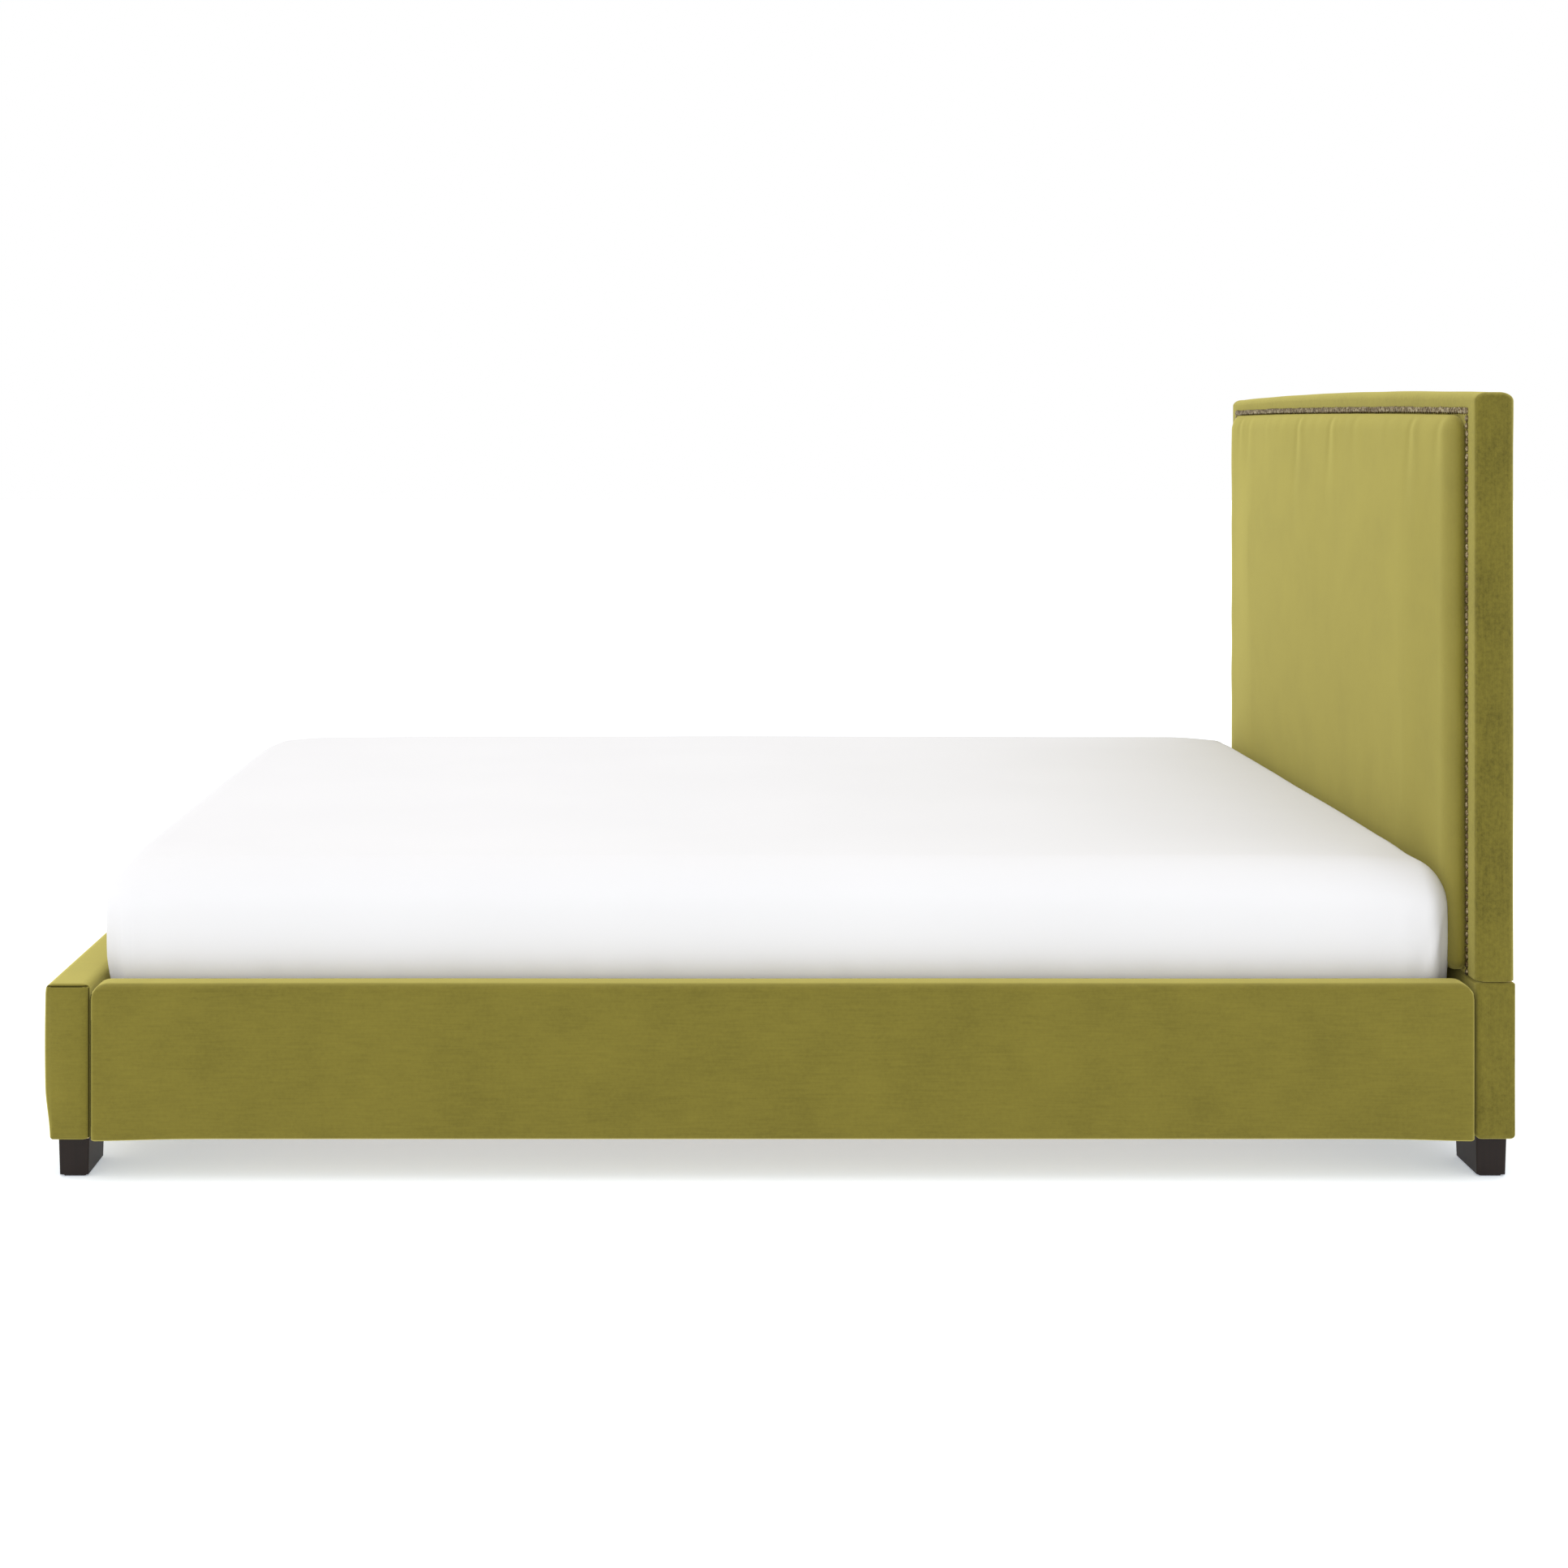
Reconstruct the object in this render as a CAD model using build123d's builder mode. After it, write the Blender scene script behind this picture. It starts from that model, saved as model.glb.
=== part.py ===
"""Upholstered queen platform bed: padded headboard with a nail-trimmed centre panel, padded side rails and
footboard, slatted base with a centre beam, and a mattress in a fitted sheet.

Frame: millimetres, +Z up, +Y towards the headboard, +X to the right, origin on the floor under the middle
of the bed. Left and right pieces mirror each other about the plane X = 0."""

import os

from build123d import *

# ---- mattress and the room around it ----
MATTRESS_WIDTH = 1524.0
MATTRESS_LENGTH = 2032.0
MATTRESS_HEIGHT = 254.0
MATTRESS_CORNER = 70.0
MATTRESS_TOP_EDGE = 34.0
MATTRESS_BOTTOM_EDGE = 14.0
MATTRESS_RECESS = 76.0
SIDE_GAP = 3.0
END_GAP = 2.0
SLAT_GAP = 0.5

# ---- upholstered outside ----
RAIL_THICKNESS = 50.0
FOOTBOARD_THICKNESS = 65.0
HEADBOARD_THICKNESS = 60.0
PANEL_RISE = 29.0
BASE_HEIGHT = 62.0
RAIL_TOP = 294.0
SEAM_ABOVE_RAIL = 2.0
SEAM_GAP = 0.5
BUTT_GAP = 0.5
HEADBOARD_SHOULDER = 1175.0
HEADBOARD_CROWN = 8.0
HEADBOARD_CORNER = 18.0
BACK_STEP = 3.0

# ---- layers, from the outside in ----
COVER = 2.0
TOP_PAD = 10.0
SIDE_PAD = 8.0
END_PAD = 8.0
RAIL_PAD = 14.0
FOOTBOARD_PAD = 15.0
HEADBOARD_PAD = 10.0
BOARD = 12.0
FRONT_EDGE = 14.0
BACK_EDGE = 6.0
RAIL_EDGE = 12.0
RAIL_INNER_EDGE = 5.0
RAIL_END_CORNER = 25.0
FOOTBOARD_CORNER = 18.0
BACK_CLOTH_INSET = 25.0
BACK_CLOTH_GAP = 0.3
INNER_COVER_LAP = 4.0

# ---- dome nails and the panel they edge ----
NAIL_SIDE_INSET = 46.0
NAIL_ROW_DROP = 28.0
NAIL_ROW_CROWN = 3.5
NAIL_PITCH = 11.5
NAIL_HEAD_RADIUS = 5.5
NAIL_HEAD_HEIGHT = 3.0
NAIL_SHANK = 1.8
NAIL_SHANK_LENGTH = 20.0
NAIL_POINT = 2.0
NAIL_TIP = 0.4
PANEL_EDGE_GAP = 0.2
PANEL_FLANGE = 6.5
PANEL_EDGE = 26.0

# ---- timber frame ----
POST_WIDTH = 90.0
TOP_RAIL_HEIGHT = 80.0
MID_RAIL_HEIGHT = 60.0
BOTTOM_RAIL_HEIGHT = 152.0
FOOTBOARD_RAIL_HEIGHT = 75.0
BOTTOM_RAIL_BELOW_BEAM = 2.5

# ---- slatted base ----
SLAT_COUNT = 14
SLAT_WIDTH = 70.0
SLAT_THICKNESS = 18.0
SLAT_END_GAP = 3.0
SLAT_END_MARGIN = 45.0
SLAT_EDGE = 3.0
CLEAT_WIDTH = 25.0
CLEAT_HEIGHT = 40.0
STRAP_WIDTH = 30.0
STRAP_THICKNESS = 1.0
STRAP_OFFSET = 400.0
BEAM_WIDTH = 40.0
BEAM_HEIGHT = 60.0
BEAM_END_GAP = 1.0
HANGER_STEEL = 3.0
HANGER_GAP = 0.5
HANGER_REACH = 50.0
HANGER_FLANGE = 25.0
HANGER_HEIGHT = 58.0

# ---- legs ----
LEG_LENGTH = 103.0
LEG_DEPTH = 46.0
LEG_TAPER = 1.5
LEG_EDGE = 3.0
LEG_SIDE_INSET = 25.0
LEG_HEAD_INSET = 7.0
LEG_FOOT_INSET = 14.0
GLIDE_HEIGHT = 3.0
GLIDE_INSET = 5.0
CENTRE_LEG_WIDTH = 40.0
CENTRE_LEG_SPACING = 600.0
CENTRE_LEG_CLEARANCE = 30.0
FOOT_RADIUS = 16.0
FOOT_HEIGHT = 10.0
FOOT_STEM_RADIUS = 4.0
FOOT_STEM_LENGTH = 50.0
FOOT_TRAVEL = 12.0
FOOT_BORE_GAP = 0.4
FOOT_EDGE = 2.0

# ---- corner brackets and fixings ----
BRACKET_STEEL = 4.0
BRACKET_REACH = 70.0
BRACKET_HEIGHT = 70.0
BRACKET_DROP = 6.0
BRACKET_HOLE_SPREAD = 40.0
BRACKET_HOLE_REACH = 40.0
BOLT_RADIUS = 4.0
BOLT_HOLE_GAP = 0.5
BOLT_HEAD_RADIUS = 6.5
BOLT_HEAD_HEIGHT = 5.5
BOLT_END_CHAMFER = 0.8
BOLT_GRIP = 26.0
HEAD_BOLT_GRIP = 44.0
STUD_LENGTH = 70.0
STUD_BELOW = 40.0
LEG_STUD_SPACING = 28.0
SCREW_RADIUS = 2.2
SCREW_LENGTH = 35.0
SCREW_HEAD_RADIUS = 4.5
SCREW_HEAD_DEPTH = 3.0
CLEAT_SCREWS = 7
CLEAT_SCREW_MARGIN = 80.0
HANGER_SCREW_INSET = 9.0

# ---- mattress layers ----
SHEET = 2.0
TICKING = 2.0
SHEET_TUCK = 110.0
COMFORT_LAYER = 60.0

# ---- worked-out sizes ----
seam_height = RAIL_TOP + SEAM_ABOVE_RAIL
nail_row_height = HEADBOARD_SHOULDER - NAIL_ROW_DROP
half_width = MATTRESS_WIDTH / 2 + SIDE_GAP + RAIL_THICKNESS
rail_run = 2 * END_GAP + MATTRESS_LENGTH + PANEL_RISE
half_length = (FOOTBOARD_THICKNESS + rail_run + HEADBOARD_THICKNESS) / 2
foot_inner = -half_length + FOOTBOARD_THICKNESS
head_front = half_length - HEADBOARD_THICKNESS
panel_front = head_front - PANEL_RISE
upper_back = half_length - BACK_STEP
core_inset = COVER + SIDE_PAD
head_core_front = head_front + COVER + HEADBOARD_PAD
head_frame_front = head_core_front + BOARD
head_core_back = upper_back - COVER
foot_core_front = -half_length + COVER + FOOTBOARD_PAD
foot_frame_front = foot_core_front + BOARD
foot_core_back = foot_inner - COVER
rail_inner = half_width - RAIL_THICKNESS
rail_core_inner = rail_inner + COVER
rail_core_outer = half_width - COVER - RAIL_PAD
core_top = RAIL_TOP - COVER - TOP_PAD
mattress_bottom = RAIL_TOP - MATTRESS_RECESS
slat_top = mattress_bottom - SLAT_GAP
slat_bottom = slat_top - SLAT_THICKNESS
cleat_bottom = slat_bottom - CLEAT_HEIGHT
beam_bottom = slat_bottom - BEAM_HEIGHT
inner_cover_edge = mattress_bottom + INNER_COVER_LAP
nail_side = half_width - NAIL_SIDE_INSET
foam_side = nail_side - PANEL_FLANGE
post_outer = half_width - core_inset
post_inner = post_outer - POST_WIDTH
mattress_foot = foot_inner + END_GAP
mattress_middle = mattress_foot + MATTRESS_LENGTH / 2

os.makedirs("parts", exist_ok=True)


def save(part, name):
    """Labels a finished piece and writes its STEP file."""
    part.label = name
    export_step(part, f"parts/{name}.step")


def slab(x_low, x_high, y_low, y_high, z_low, z_high):
    """A square-edged block between two corners, for timber and plates."""
    with BuildPart() as block:
        with BuildSketch(Plane.XY.offset(z_low)):
            with Locations(((x_low + x_high) / 2, (y_low + y_high) / 2)):
                Rectangle(x_high - x_low, y_high - y_low)
        extrude(amount=z_high - z_low)
    return block.part


def arched_solid(side, low, shoulder, crown, corner, y_front, y_back):
    """An upright slab with an arched top: square below, its two top corners rounded by `corner`."""
    with BuildPart() as body:
        with BuildSketch(Plane.XZ.offset(-y_back)) as outline:
            with BuildLine():
                Polyline((-side, shoulder), (-side, low), (side, low), (side, shoulder))
                if crown:
                    ThreePointArc((side, shoulder), (0, shoulder + crown), (-side, shoulder))
                else:
                    Line((side, shoulder), (-side, shoulder))
            make_face()
            if corner:
                fillet(outline.vertices().group_by(Axis.Y)[-1], corner)
        extrude(amount=y_back - y_front)
    return body.part


def upholstered_slab(side, low, shoulder, crown, corner, y_front, y_back, front_edge, back_edge):
    """An arched slab whose side and top edges are rounded, at the front and at the back."""
    with BuildPart() as body:
        add(arched_solid(side, low, shoulder, crown, corner, y_front, y_back))
        for level, radius in ((y_front, front_edge), (y_back, back_edge)):
            if radius:
                rim = body.edges().filter_by_position(Axis.Y, level - 0.01, level + 0.01)
                fillet(rim.filter_by(lambda edge: edge.center().Z > low + 0.01), radius)
    return body.part


def rail_envelope(inset, low):
    """The padded outside of the right side rail, drawn `inset` inside its cover's outer face."""
    near = foot_inner + BUTT_GAP + inset
    far = head_front - BUTT_GAP - inset
    with BuildPart() as body:
        with BuildSketch(Plane.YZ.offset(rail_inner + inset)) as outline:
            with Locations(((near + far) / 2, (low + RAIL_TOP - inset) / 2)):
                Rectangle(far - near, RAIL_TOP - inset - low)
            fillet(outline.vertices().group_by(Axis.Y)[-1], RAIL_END_CORNER - inset)
        extrude(amount=RAIL_THICKNESS - 2 * inset)
        for level, radius in ((rail_inner + inset, RAIL_INNER_EDGE), (half_width - inset, RAIL_EDGE)):
            rim = body.edges().filter_by_position(Axis.X, level - 0.01, level + 0.01)
            fillet(rim.filter_by(lambda edge: edge.center().Z > low + 0.01), radius - inset)
    return body.part


def mattress_block(inset, low, high):
    """The mattress shape drawn `inset` inside its outer face, cut flat at `low` and `high`."""
    with BuildPart() as body:
        bottom = mattress_bottom + inset
        with BuildSketch(Plane.XY.offset(bottom)):
            with Locations((0, mattress_middle)):
                RectangleRounded(
                    MATTRESS_WIDTH - 2 * inset, MATTRESS_LENGTH - 2 * inset, MATTRESS_CORNER - inset
                )
        extrude(amount=MATTRESS_HEIGHT - 2 * inset)
        fillet(body.edges().group_by(Axis.Z)[-1], MATTRESS_TOP_EDGE - inset)
        fillet(body.edges().group_by(Axis.Z)[0], MATTRESS_BOTTOM_EDGE - inset)
        keep = slab(
            -MATTRESS_WIDTH,
            MATTRESS_WIDTH,
            mattress_middle - MATTRESS_LENGTH,
            mattress_middle + MATTRESS_LENGTH,
            low,
            high,
        )
        add(keep, mode=Mode.INTERSECT)
    return body.part


def save_pair(right, name):
    """Writes the right-hand piece and its mirror image on the left."""
    save(right, f"{name}_right")
    with BuildPart() as left:
        mirror(right, about=Plane.YZ)
    save(left.part, f"{name}_left")


# ---- headboard: timber ----
def build_headboard_frame():
    stile_top = HEADBOARD_SHOULDER - core_inset
    stile = slab(post_inner, post_outer, head_frame_front, head_core_back, BASE_HEIGHT, stile_top)
    save_pair(stile, "headboard_stile")

    # the arch between the stiles, on the circle through both shoulders and the crown
    rise = HEADBOARD_CROWN
    chord = half_width - core_inset
    arch_radius = (chord**2 + rise**2) / (2 * rise)
    drop = arch_radius - (arch_radius**2 - post_inner**2) ** 0.5
    top_rail = arched_solid(
        post_inner,
        stile_top - TOP_RAIL_HEIGHT,
        stile_top + rise - drop,
        drop,
        0,
        head_frame_front,
        head_core_back,
    )
    save(top_rail, "headboard_top_rail")

    bottom_high = BASE_HEIGHT + BOTTOM_RAIL_HEIGHT
    middle = (bottom_high + stile_top - TOP_RAIL_HEIGHT) / 2
    middle_low = middle - MID_RAIL_HEIGHT / 2
    middle_high = middle + MID_RAIL_HEIGHT / 2
    for name, low, high in (("mid", middle_low, middle_high), ("bottom", BASE_HEIGHT, bottom_high)):
        rail = slab(-post_inner, post_inner, head_frame_front, head_core_back, low, high)
        save(rail, f"headboard_{name}_rail")

    board = arched_solid(
        half_width - core_inset,
        BASE_HEIGHT,
        HEADBOARD_SHOULDER - core_inset,
        HEADBOARD_CROWN,
        0,
        head_core_front,
        head_frame_front,
    )
    save(board, "headboard_board")


# ---- headboard: pads and covers ----
def headboard_envelope(inset, low, back):
    """The outside of the headboard above `low`, drawn `inset` inside its cover's outer face."""
    return upholstered_slab(
        half_width - inset,
        low,
        HEADBOARD_SHOULDER - inset,
        HEADBOARD_CROWN,
        HEADBOARD_CORNER - inset,
        head_front + inset,
        back - inset,
        FRONT_EDGE - inset,
        BACK_EDGE - inset,
    )


def panel_opening(side_inset, low, y_front, y_back):
    """The space inside the nail line, drawn `side_inset` inside it."""
    return arched_solid(
        nail_side - side_inset,
        low,
        nail_row_height - side_inset,
        NAIL_ROW_CROWN,
        0,
        y_front,
        y_back,
    )


def build_headboard_border():
    with BuildPart() as border_pad:
        add(headboard_envelope(COVER, seam_height, upper_back))
        core = arched_solid(
            post_outer,
            0,
            HEADBOARD_SHOULDER - core_inset,
            HEADBOARD_CROWN,
            0,
            head_core_front,
            half_length,
        )
        add(core, mode=Mode.SUBTRACT)
        add(panel_opening(PANEL_FLANGE, 0, head_front, head_core_front), mode=Mode.SUBTRACT)
    save(border_pad.part, "border_pad")

    with BuildPart() as border_cover:
        add(headboard_envelope(0, seam_height, upper_back))
        add(headboard_envelope(COVER, seam_height - COVER, upper_back), mode=Mode.SUBTRACT)
        front = panel_opening(0, 0, head_front - COVER, head_front + 2 * COVER)
        add(front, mode=Mode.SUBTRACT)
        back = slab(
            BACK_CLOTH_INSET - half_width,
            half_width - BACK_CLOTH_INSET,
            head_core_back - COVER,
            half_length,
            0,
            HEADBOARD_SHOULDER - BACK_CLOTH_INSET,
        )
        add(back, mode=Mode.SUBTRACT)
    save(border_cover.part, "border_cover")

    cloth_side = half_width - BACK_CLOTH_INSET - BACK_CLOTH_GAP
    back_cover = slab(
        -cloth_side,
        cloth_side,
        head_core_back,
        upper_back,
        seam_height,
        HEADBOARD_SHOULDER - BACK_CLOTH_INSET - BACK_CLOTH_GAP,
    )
    save(back_cover, "back_cover")


def build_headboard_panel():
    foam_bottom = seam_height + COVER
    foam_front = panel_front + COVER
    foam = upholstered_slab(
        foam_side - COVER,
        foam_bottom,
        nail_row_height - PANEL_FLANGE - COVER,
        0,
        0,
        foam_front,
        head_core_front,
        PANEL_EDGE - COVER,
        0,
    )
    save(foam, "panel_foam")

    with BuildPart() as panel_cover:
        outside = upholstered_slab(
            foam_side,
            seam_height,
            nail_row_height - PANEL_FLANGE,
            0,
            0,
            panel_front,
            head_front + COVER,
            PANEL_EDGE,
            0,
        )
        add(outside)
        add(panel_opening(PANEL_EDGE_GAP, seam_height, head_front, head_front + COVER))
        add(foam, mode=Mode.SUBTRACT)
    save(panel_cover.part, "panel_cover")


def build_headboard_lower():
    top = seam_height - SEAM_GAP
    with BuildPart() as lower_cover:
        add(lower_envelope(0, top))
        add(lower_envelope(COVER, top), mode=Mode.SUBTRACT)
    save(lower_cover.part, "lower_cover")

    with BuildPart() as lower_pad:
        add(lower_envelope(COVER, top))
        core = slab(-post_outer, post_outer, head_core_front, head_core_back, 0, top)
        add(core, mode=Mode.SUBTRACT)
    save(lower_pad.part, "lower_pad")


def lower_envelope(inset, top):
    """The headboard below its seam, with all four upright edges rounded."""
    with BuildPart() as body:
        with BuildSketch(Plane.XY.offset(BASE_HEIGHT)):
            with Locations((0, (head_front + half_length) / 2)):
                RectangleRounded(
                    2 * (half_width - inset), HEADBOARD_THICKNESS - 2 * inset, BACK_EDGE - inset
                )
        extrude(amount=top - BASE_HEIGHT)
    return body.part


def build_nails():
    with BuildPart() as nail:
        with BuildSketch(Plane.XY):
            with BuildLine():
                dome = ThreePointArc(
                    (0, -NAIL_HEAD_HEIGHT),
                    (NAIL_HEAD_RADIUS * 0.72, -NAIL_HEAD_HEIGHT * 0.62),
                    (NAIL_HEAD_RADIUS, 0),
                )
                Polyline(dome @ 1, (0, 0), dome @ 0)
            make_face()
        revolve(axis=Axis.Y)
        shank_end = NAIL_SHANK_LENGTH - NAIL_POINT
        half = NAIL_SHANK / 2
        add(slab(-half, half, 0, shank_end, -half, half))
        for level, width in ((shank_end, NAIL_SHANK), (NAIL_SHANK_LENGTH, NAIL_TIP)):
            with BuildSketch(Plane(origin=(0, level, 0), x_dir=(1, 0, 0), z_dir=(0, 1, 0))):
                Rectangle(width, width)
        loft()

    row_gaps = round(2 * nail_side / NAIL_PITCH)
    arch_radius = (nail_side**2 + NAIL_ROW_CROWN**2) / (2 * NAIL_ROW_CROWN)
    arch_centre = nail_row_height + NAIL_ROW_CROWN - arch_radius
    column_low = seam_height + NAIL_PITCH / 2
    column_gaps = round((nail_row_height - column_low) / NAIL_PITCH)
    places = []
    for step in range(row_gaps + 1):
        x = -nail_side + step * 2 * nail_side / row_gaps
        places.append((x, head_front, arch_centre + (arch_radius**2 - x**2) ** 0.5))
    for step in range(column_gaps):
        z = column_low + step * (nail_row_height - column_low) / column_gaps
        places.append((-nail_side, head_front, z))
        places.append((nail_side, head_front, z))
    with BuildPart() as nailheads:
        with Locations(*places):
            add(nail.part)
    save(nailheads.part, "nailheads")


# ---- side rails ----
def build_side_rails():
    near = foot_inner + BUTT_GAP + COVER + END_PAD
    far = head_front - BUTT_GAP - COVER - END_PAD
    core = slab(rail_core_inner, rail_core_outer, near, far, BASE_HEIGHT, core_top)
    save_pair(core, "rail_core")

    with BuildPart() as pad:
        add(rail_envelope(COVER, BASE_HEIGHT))
        add(core, mode=Mode.SUBTRACT)
    save_pair(pad.part, "rail_pad")

    with BuildPart() as cover:
        add(rail_envelope(0, BASE_HEIGHT))
        add(rail_envelope(COVER, BASE_HEIGHT - COVER), mode=Mode.SUBTRACT)
        bare = slab(0, rail_core_inner, foot_core_front, half_length, 0, inner_cover_edge)
        add(bare, mode=Mode.SUBTRACT)
    save_pair(cover.part, "rail_cover")

    cleat = slab(
        rail_core_inner - CLEAT_WIDTH, rail_core_inner, near, far, cleat_bottom, slat_bottom
    )
    save_pair(cleat, "slat_cleat")


# ---- footboard ----
def footboard_envelope(inset, low):
    """The outside of the footboard, drawn `inset` inside its cover's outer face."""
    return upholstered_slab(
        half_width - inset,
        low,
        RAIL_TOP - inset,
        0,
        FOOTBOARD_CORNER - inset,
        -half_length + inset,
        foot_inner - inset,
        FRONT_EDGE - inset,
        BACK_EDGE - inset,
    )


def build_footboard():
    board = slab(-post_outer, post_outer, foot_core_front, foot_frame_front, BASE_HEIGHT, core_top)
    save(board, "footboard_board")
    post = slab(post_inner, post_outer, foot_frame_front, foot_core_back, BASE_HEIGHT, core_top)
    save_pair(post, "footboard_post")
    low_top = beam_bottom - BOTTOM_RAIL_BELOW_BEAM
    high_bottom = core_top - FOOTBOARD_RAIL_HEIGHT
    half_post = POST_WIDTH / 2
    centre = slab(-half_post, half_post, foot_frame_front, foot_core_back, low_top, high_bottom)
    save(centre, "footboard_centre_post")
    for name, low, high in (("bottom", BASE_HEIGHT, low_top), ("top", high_bottom, core_top)):
        rail = slab(-post_inner, post_inner, foot_frame_front, foot_core_back, low, high)
        save(rail, f"footboard_{name}_rail")

    core = slab(-post_outer, post_outer, foot_core_front, foot_core_back, 0, core_top)
    with BuildPart() as pad:
        add(footboard_envelope(COVER, BASE_HEIGHT))
        add(core, mode=Mode.SUBTRACT)
    save(pad.part, "footboard_pad")

    with BuildPart() as cover:
        add(footboard_envelope(0, BASE_HEIGHT))
        add(footboard_envelope(COVER, BASE_HEIGHT - COVER), mode=Mode.SUBTRACT)
        bare = slab(-post_outer, post_outer, foot_core_back, 0, 0, inner_cover_edge)
        add(bare, mode=Mode.SUBTRACT)
    save(cover.part, "footboard_cover")


# ---- slatted base ----
def slat_places():
    """The middle of each slat along Y, evenly spaced between the end slats."""
    first = foot_inner + SLAT_END_MARGIN
    last = head_front - SLAT_END_MARGIN
    return [first + step * (last - first) / (SLAT_COUNT - 1) for step in range(SLAT_COUNT)]


def build_slats():
    slat_half = rail_core_inner - SLAT_END_GAP
    with BuildPart() as slats:
        with BuildSketch(Plane.XY.offset(slat_bottom)):
            with Locations(*[(0, y) for y in slat_places()]):
                RectangleRounded(2 * slat_half, SLAT_WIDTH, SLAT_EDGE)
        extrude(amount=SLAT_THICKNESS)
    save(slats.part, "slats")

    ends = slat_places()
    with BuildPart() as straps:
        with BuildSketch(Plane.XY.offset(slat_bottom - STRAP_THICKNESS)):
            middle = (ends[0] + ends[-1]) / 2
            with Locations((-STRAP_OFFSET, middle), (STRAP_OFFSET, middle)):
                Rectangle(STRAP_WIDTH, ends[-1] - ends[0] + SLAT_WIDTH / 2)
        extrude(amount=STRAP_THICKNESS)
    save(straps.part, "slat_straps")


def build_centre_support():
    beam_half = BEAM_WIDTH / 2
    near = foot_core_back + HANGER_STEEL + BEAM_END_GAP
    far = head_front - HANGER_STEEL - BEAM_END_GAP
    beam = slab(-beam_half, beam_half, near, far, beam_bottom, slat_bottom)
    save(beam, "centre_beam")

    for name, wall, inward in bracket_walls():
        side = beam_half + HANGER_GAP + HANGER_STEEL
        low = beam_bottom - HANGER_STEEL
        plate_face = wall + inward * HANGER_STEEL
        reach = wall + inward * HANGER_REACH
        plate_side = side + HANGER_FLANGE
        with BuildPart() as hanger:
            add(slab(-plate_side, plate_side, *sorted((wall, plate_face)), low, low + HANGER_HEIGHT))
            add(slab(-side, side, *sorted((plate_face, reach)), low, low + HANGER_HEIGHT))
            channel_side = beam_half + HANGER_GAP
            channel = slab(
                -channel_side,
                channel_side,
                *sorted((plate_face, reach + inward * HANGER_STEEL)),
                beam_bottom,
                RAIL_TOP,
            )
            add(channel, mode=Mode.SUBTRACT)
        save(hanger.part, f"beam_hanger_{name}")

    leg_half = CENTRE_LEG_WIDTH / 2
    bore = FOOT_HEIGHT + FOOT_STEM_LENGTH + FOOT_TRAVEL + FOOT_BORE_GAP - CENTRE_LEG_CLEARANCE
    leg_places = [(index - 1) * CENTRE_LEG_SPACING for index in range(3)]
    for index, y in enumerate(leg_places, start=1):
        with BuildPart() as leg:
            add(slab(-leg_half, leg_half, y - leg_half, y + leg_half, CENTRE_LEG_CLEARANCE, beam_bottom))
            with BuildSketch(Plane.XY.offset(CENTRE_LEG_CLEARANCE)):
                with Locations((0, y)):
                    Circle(FOOT_STEM_RADIUS + FOOT_BORE_GAP)
            extrude(amount=bore, mode=Mode.SUBTRACT)
        save(leg.part, f"centre_leg_{index}")

        with BuildPart() as foot:
            with BuildSketch(Plane.XY):
                with Locations((0, y)):
                    Circle(FOOT_RADIUS)
            extrude(amount=FOOT_HEIGHT)
            chamfer(foot.edges().group_by(Axis.Z)[-1], FOOT_EDGE)
            with BuildSketch(Plane.XY.offset(FOOT_HEIGHT)):
                with Locations((0, y)):
                    Circle(FOOT_STEM_RADIUS)
            extrude(amount=FOOT_STEM_LENGTH)
        save(foot.part, f"levelling_foot_{index}")

    with BuildPart() as studs:
        with BuildSketch(Plane.XY.offset(beam_bottom - STUD_BELOW)):
            with Locations(*[(0, y) for y in leg_places]):
                Circle(BOLT_RADIUS)
        extrude(amount=STUD_LENGTH)
    save(studs.part, "centre_leg_studs")


# ---- corner legs ----
def leg_spans():
    """The low and high Y of the legs under the headboard and under the footboard, with their timber."""
    head_high = half_length - LEG_HEAD_INSET
    foot_low = -half_length + LEG_FOOT_INSET
    return (
        ("head", head_high - LEG_DEPTH, head_high, head_frame_front, head_core_back),
        ("foot", foot_low, foot_low + LEG_DEPTH, foot_frame_front, foot_core_back),
    )


def build_corner_legs():
    x_middle = half_width - LEG_SIDE_INSET - LEG_LENGTH / 2
    stud_places = []
    glide_places = []
    for name, low, high, timber_low, timber_high in leg_spans():
        y_middle = (low + high) / 2
        with BuildPart() as leg:
            for level, taper in ((GLIDE_HEIGHT, LEG_TAPER), (BASE_HEIGHT, 0)):
                with BuildSketch(Plane.XY.offset(level)):
                    with Locations((x_middle, y_middle)):
                        RectangleRounded(LEG_LENGTH - 2 * taper, LEG_DEPTH - 2 * taper, LEG_EDGE)
            loft()
        save_pair(leg.part, f"leg_{name}")
        stud_y = (max(low, timber_low) + min(high, timber_high)) / 2
        for side in (-1, 1):
            glide_places.append((side * x_middle, y_middle))
            for shift in (-LEG_STUD_SPACING / 2, LEG_STUD_SPACING / 2):
                stud_places.append((side * x_middle + shift, stud_y))

    with BuildPart() as studs:
        with BuildSketch(Plane.XY.offset(BASE_HEIGHT - STUD_BELOW)):
            with Locations(*stud_places):
                Circle(BOLT_RADIUS)
        extrude(amount=STUD_LENGTH)
    save(studs.part, "leg_studs")

    inset = 2 * (LEG_TAPER + GLIDE_INSET)
    with BuildPart() as glides:
        with BuildSketch(Plane.XY):
            with Locations(*glide_places):
                RectangleRounded(LEG_LENGTH - inset, LEG_DEPTH - inset, LEG_EDGE)
        extrude(amount=GLIDE_HEIGHT)
    save(glides.part, "leg_glides")


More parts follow.
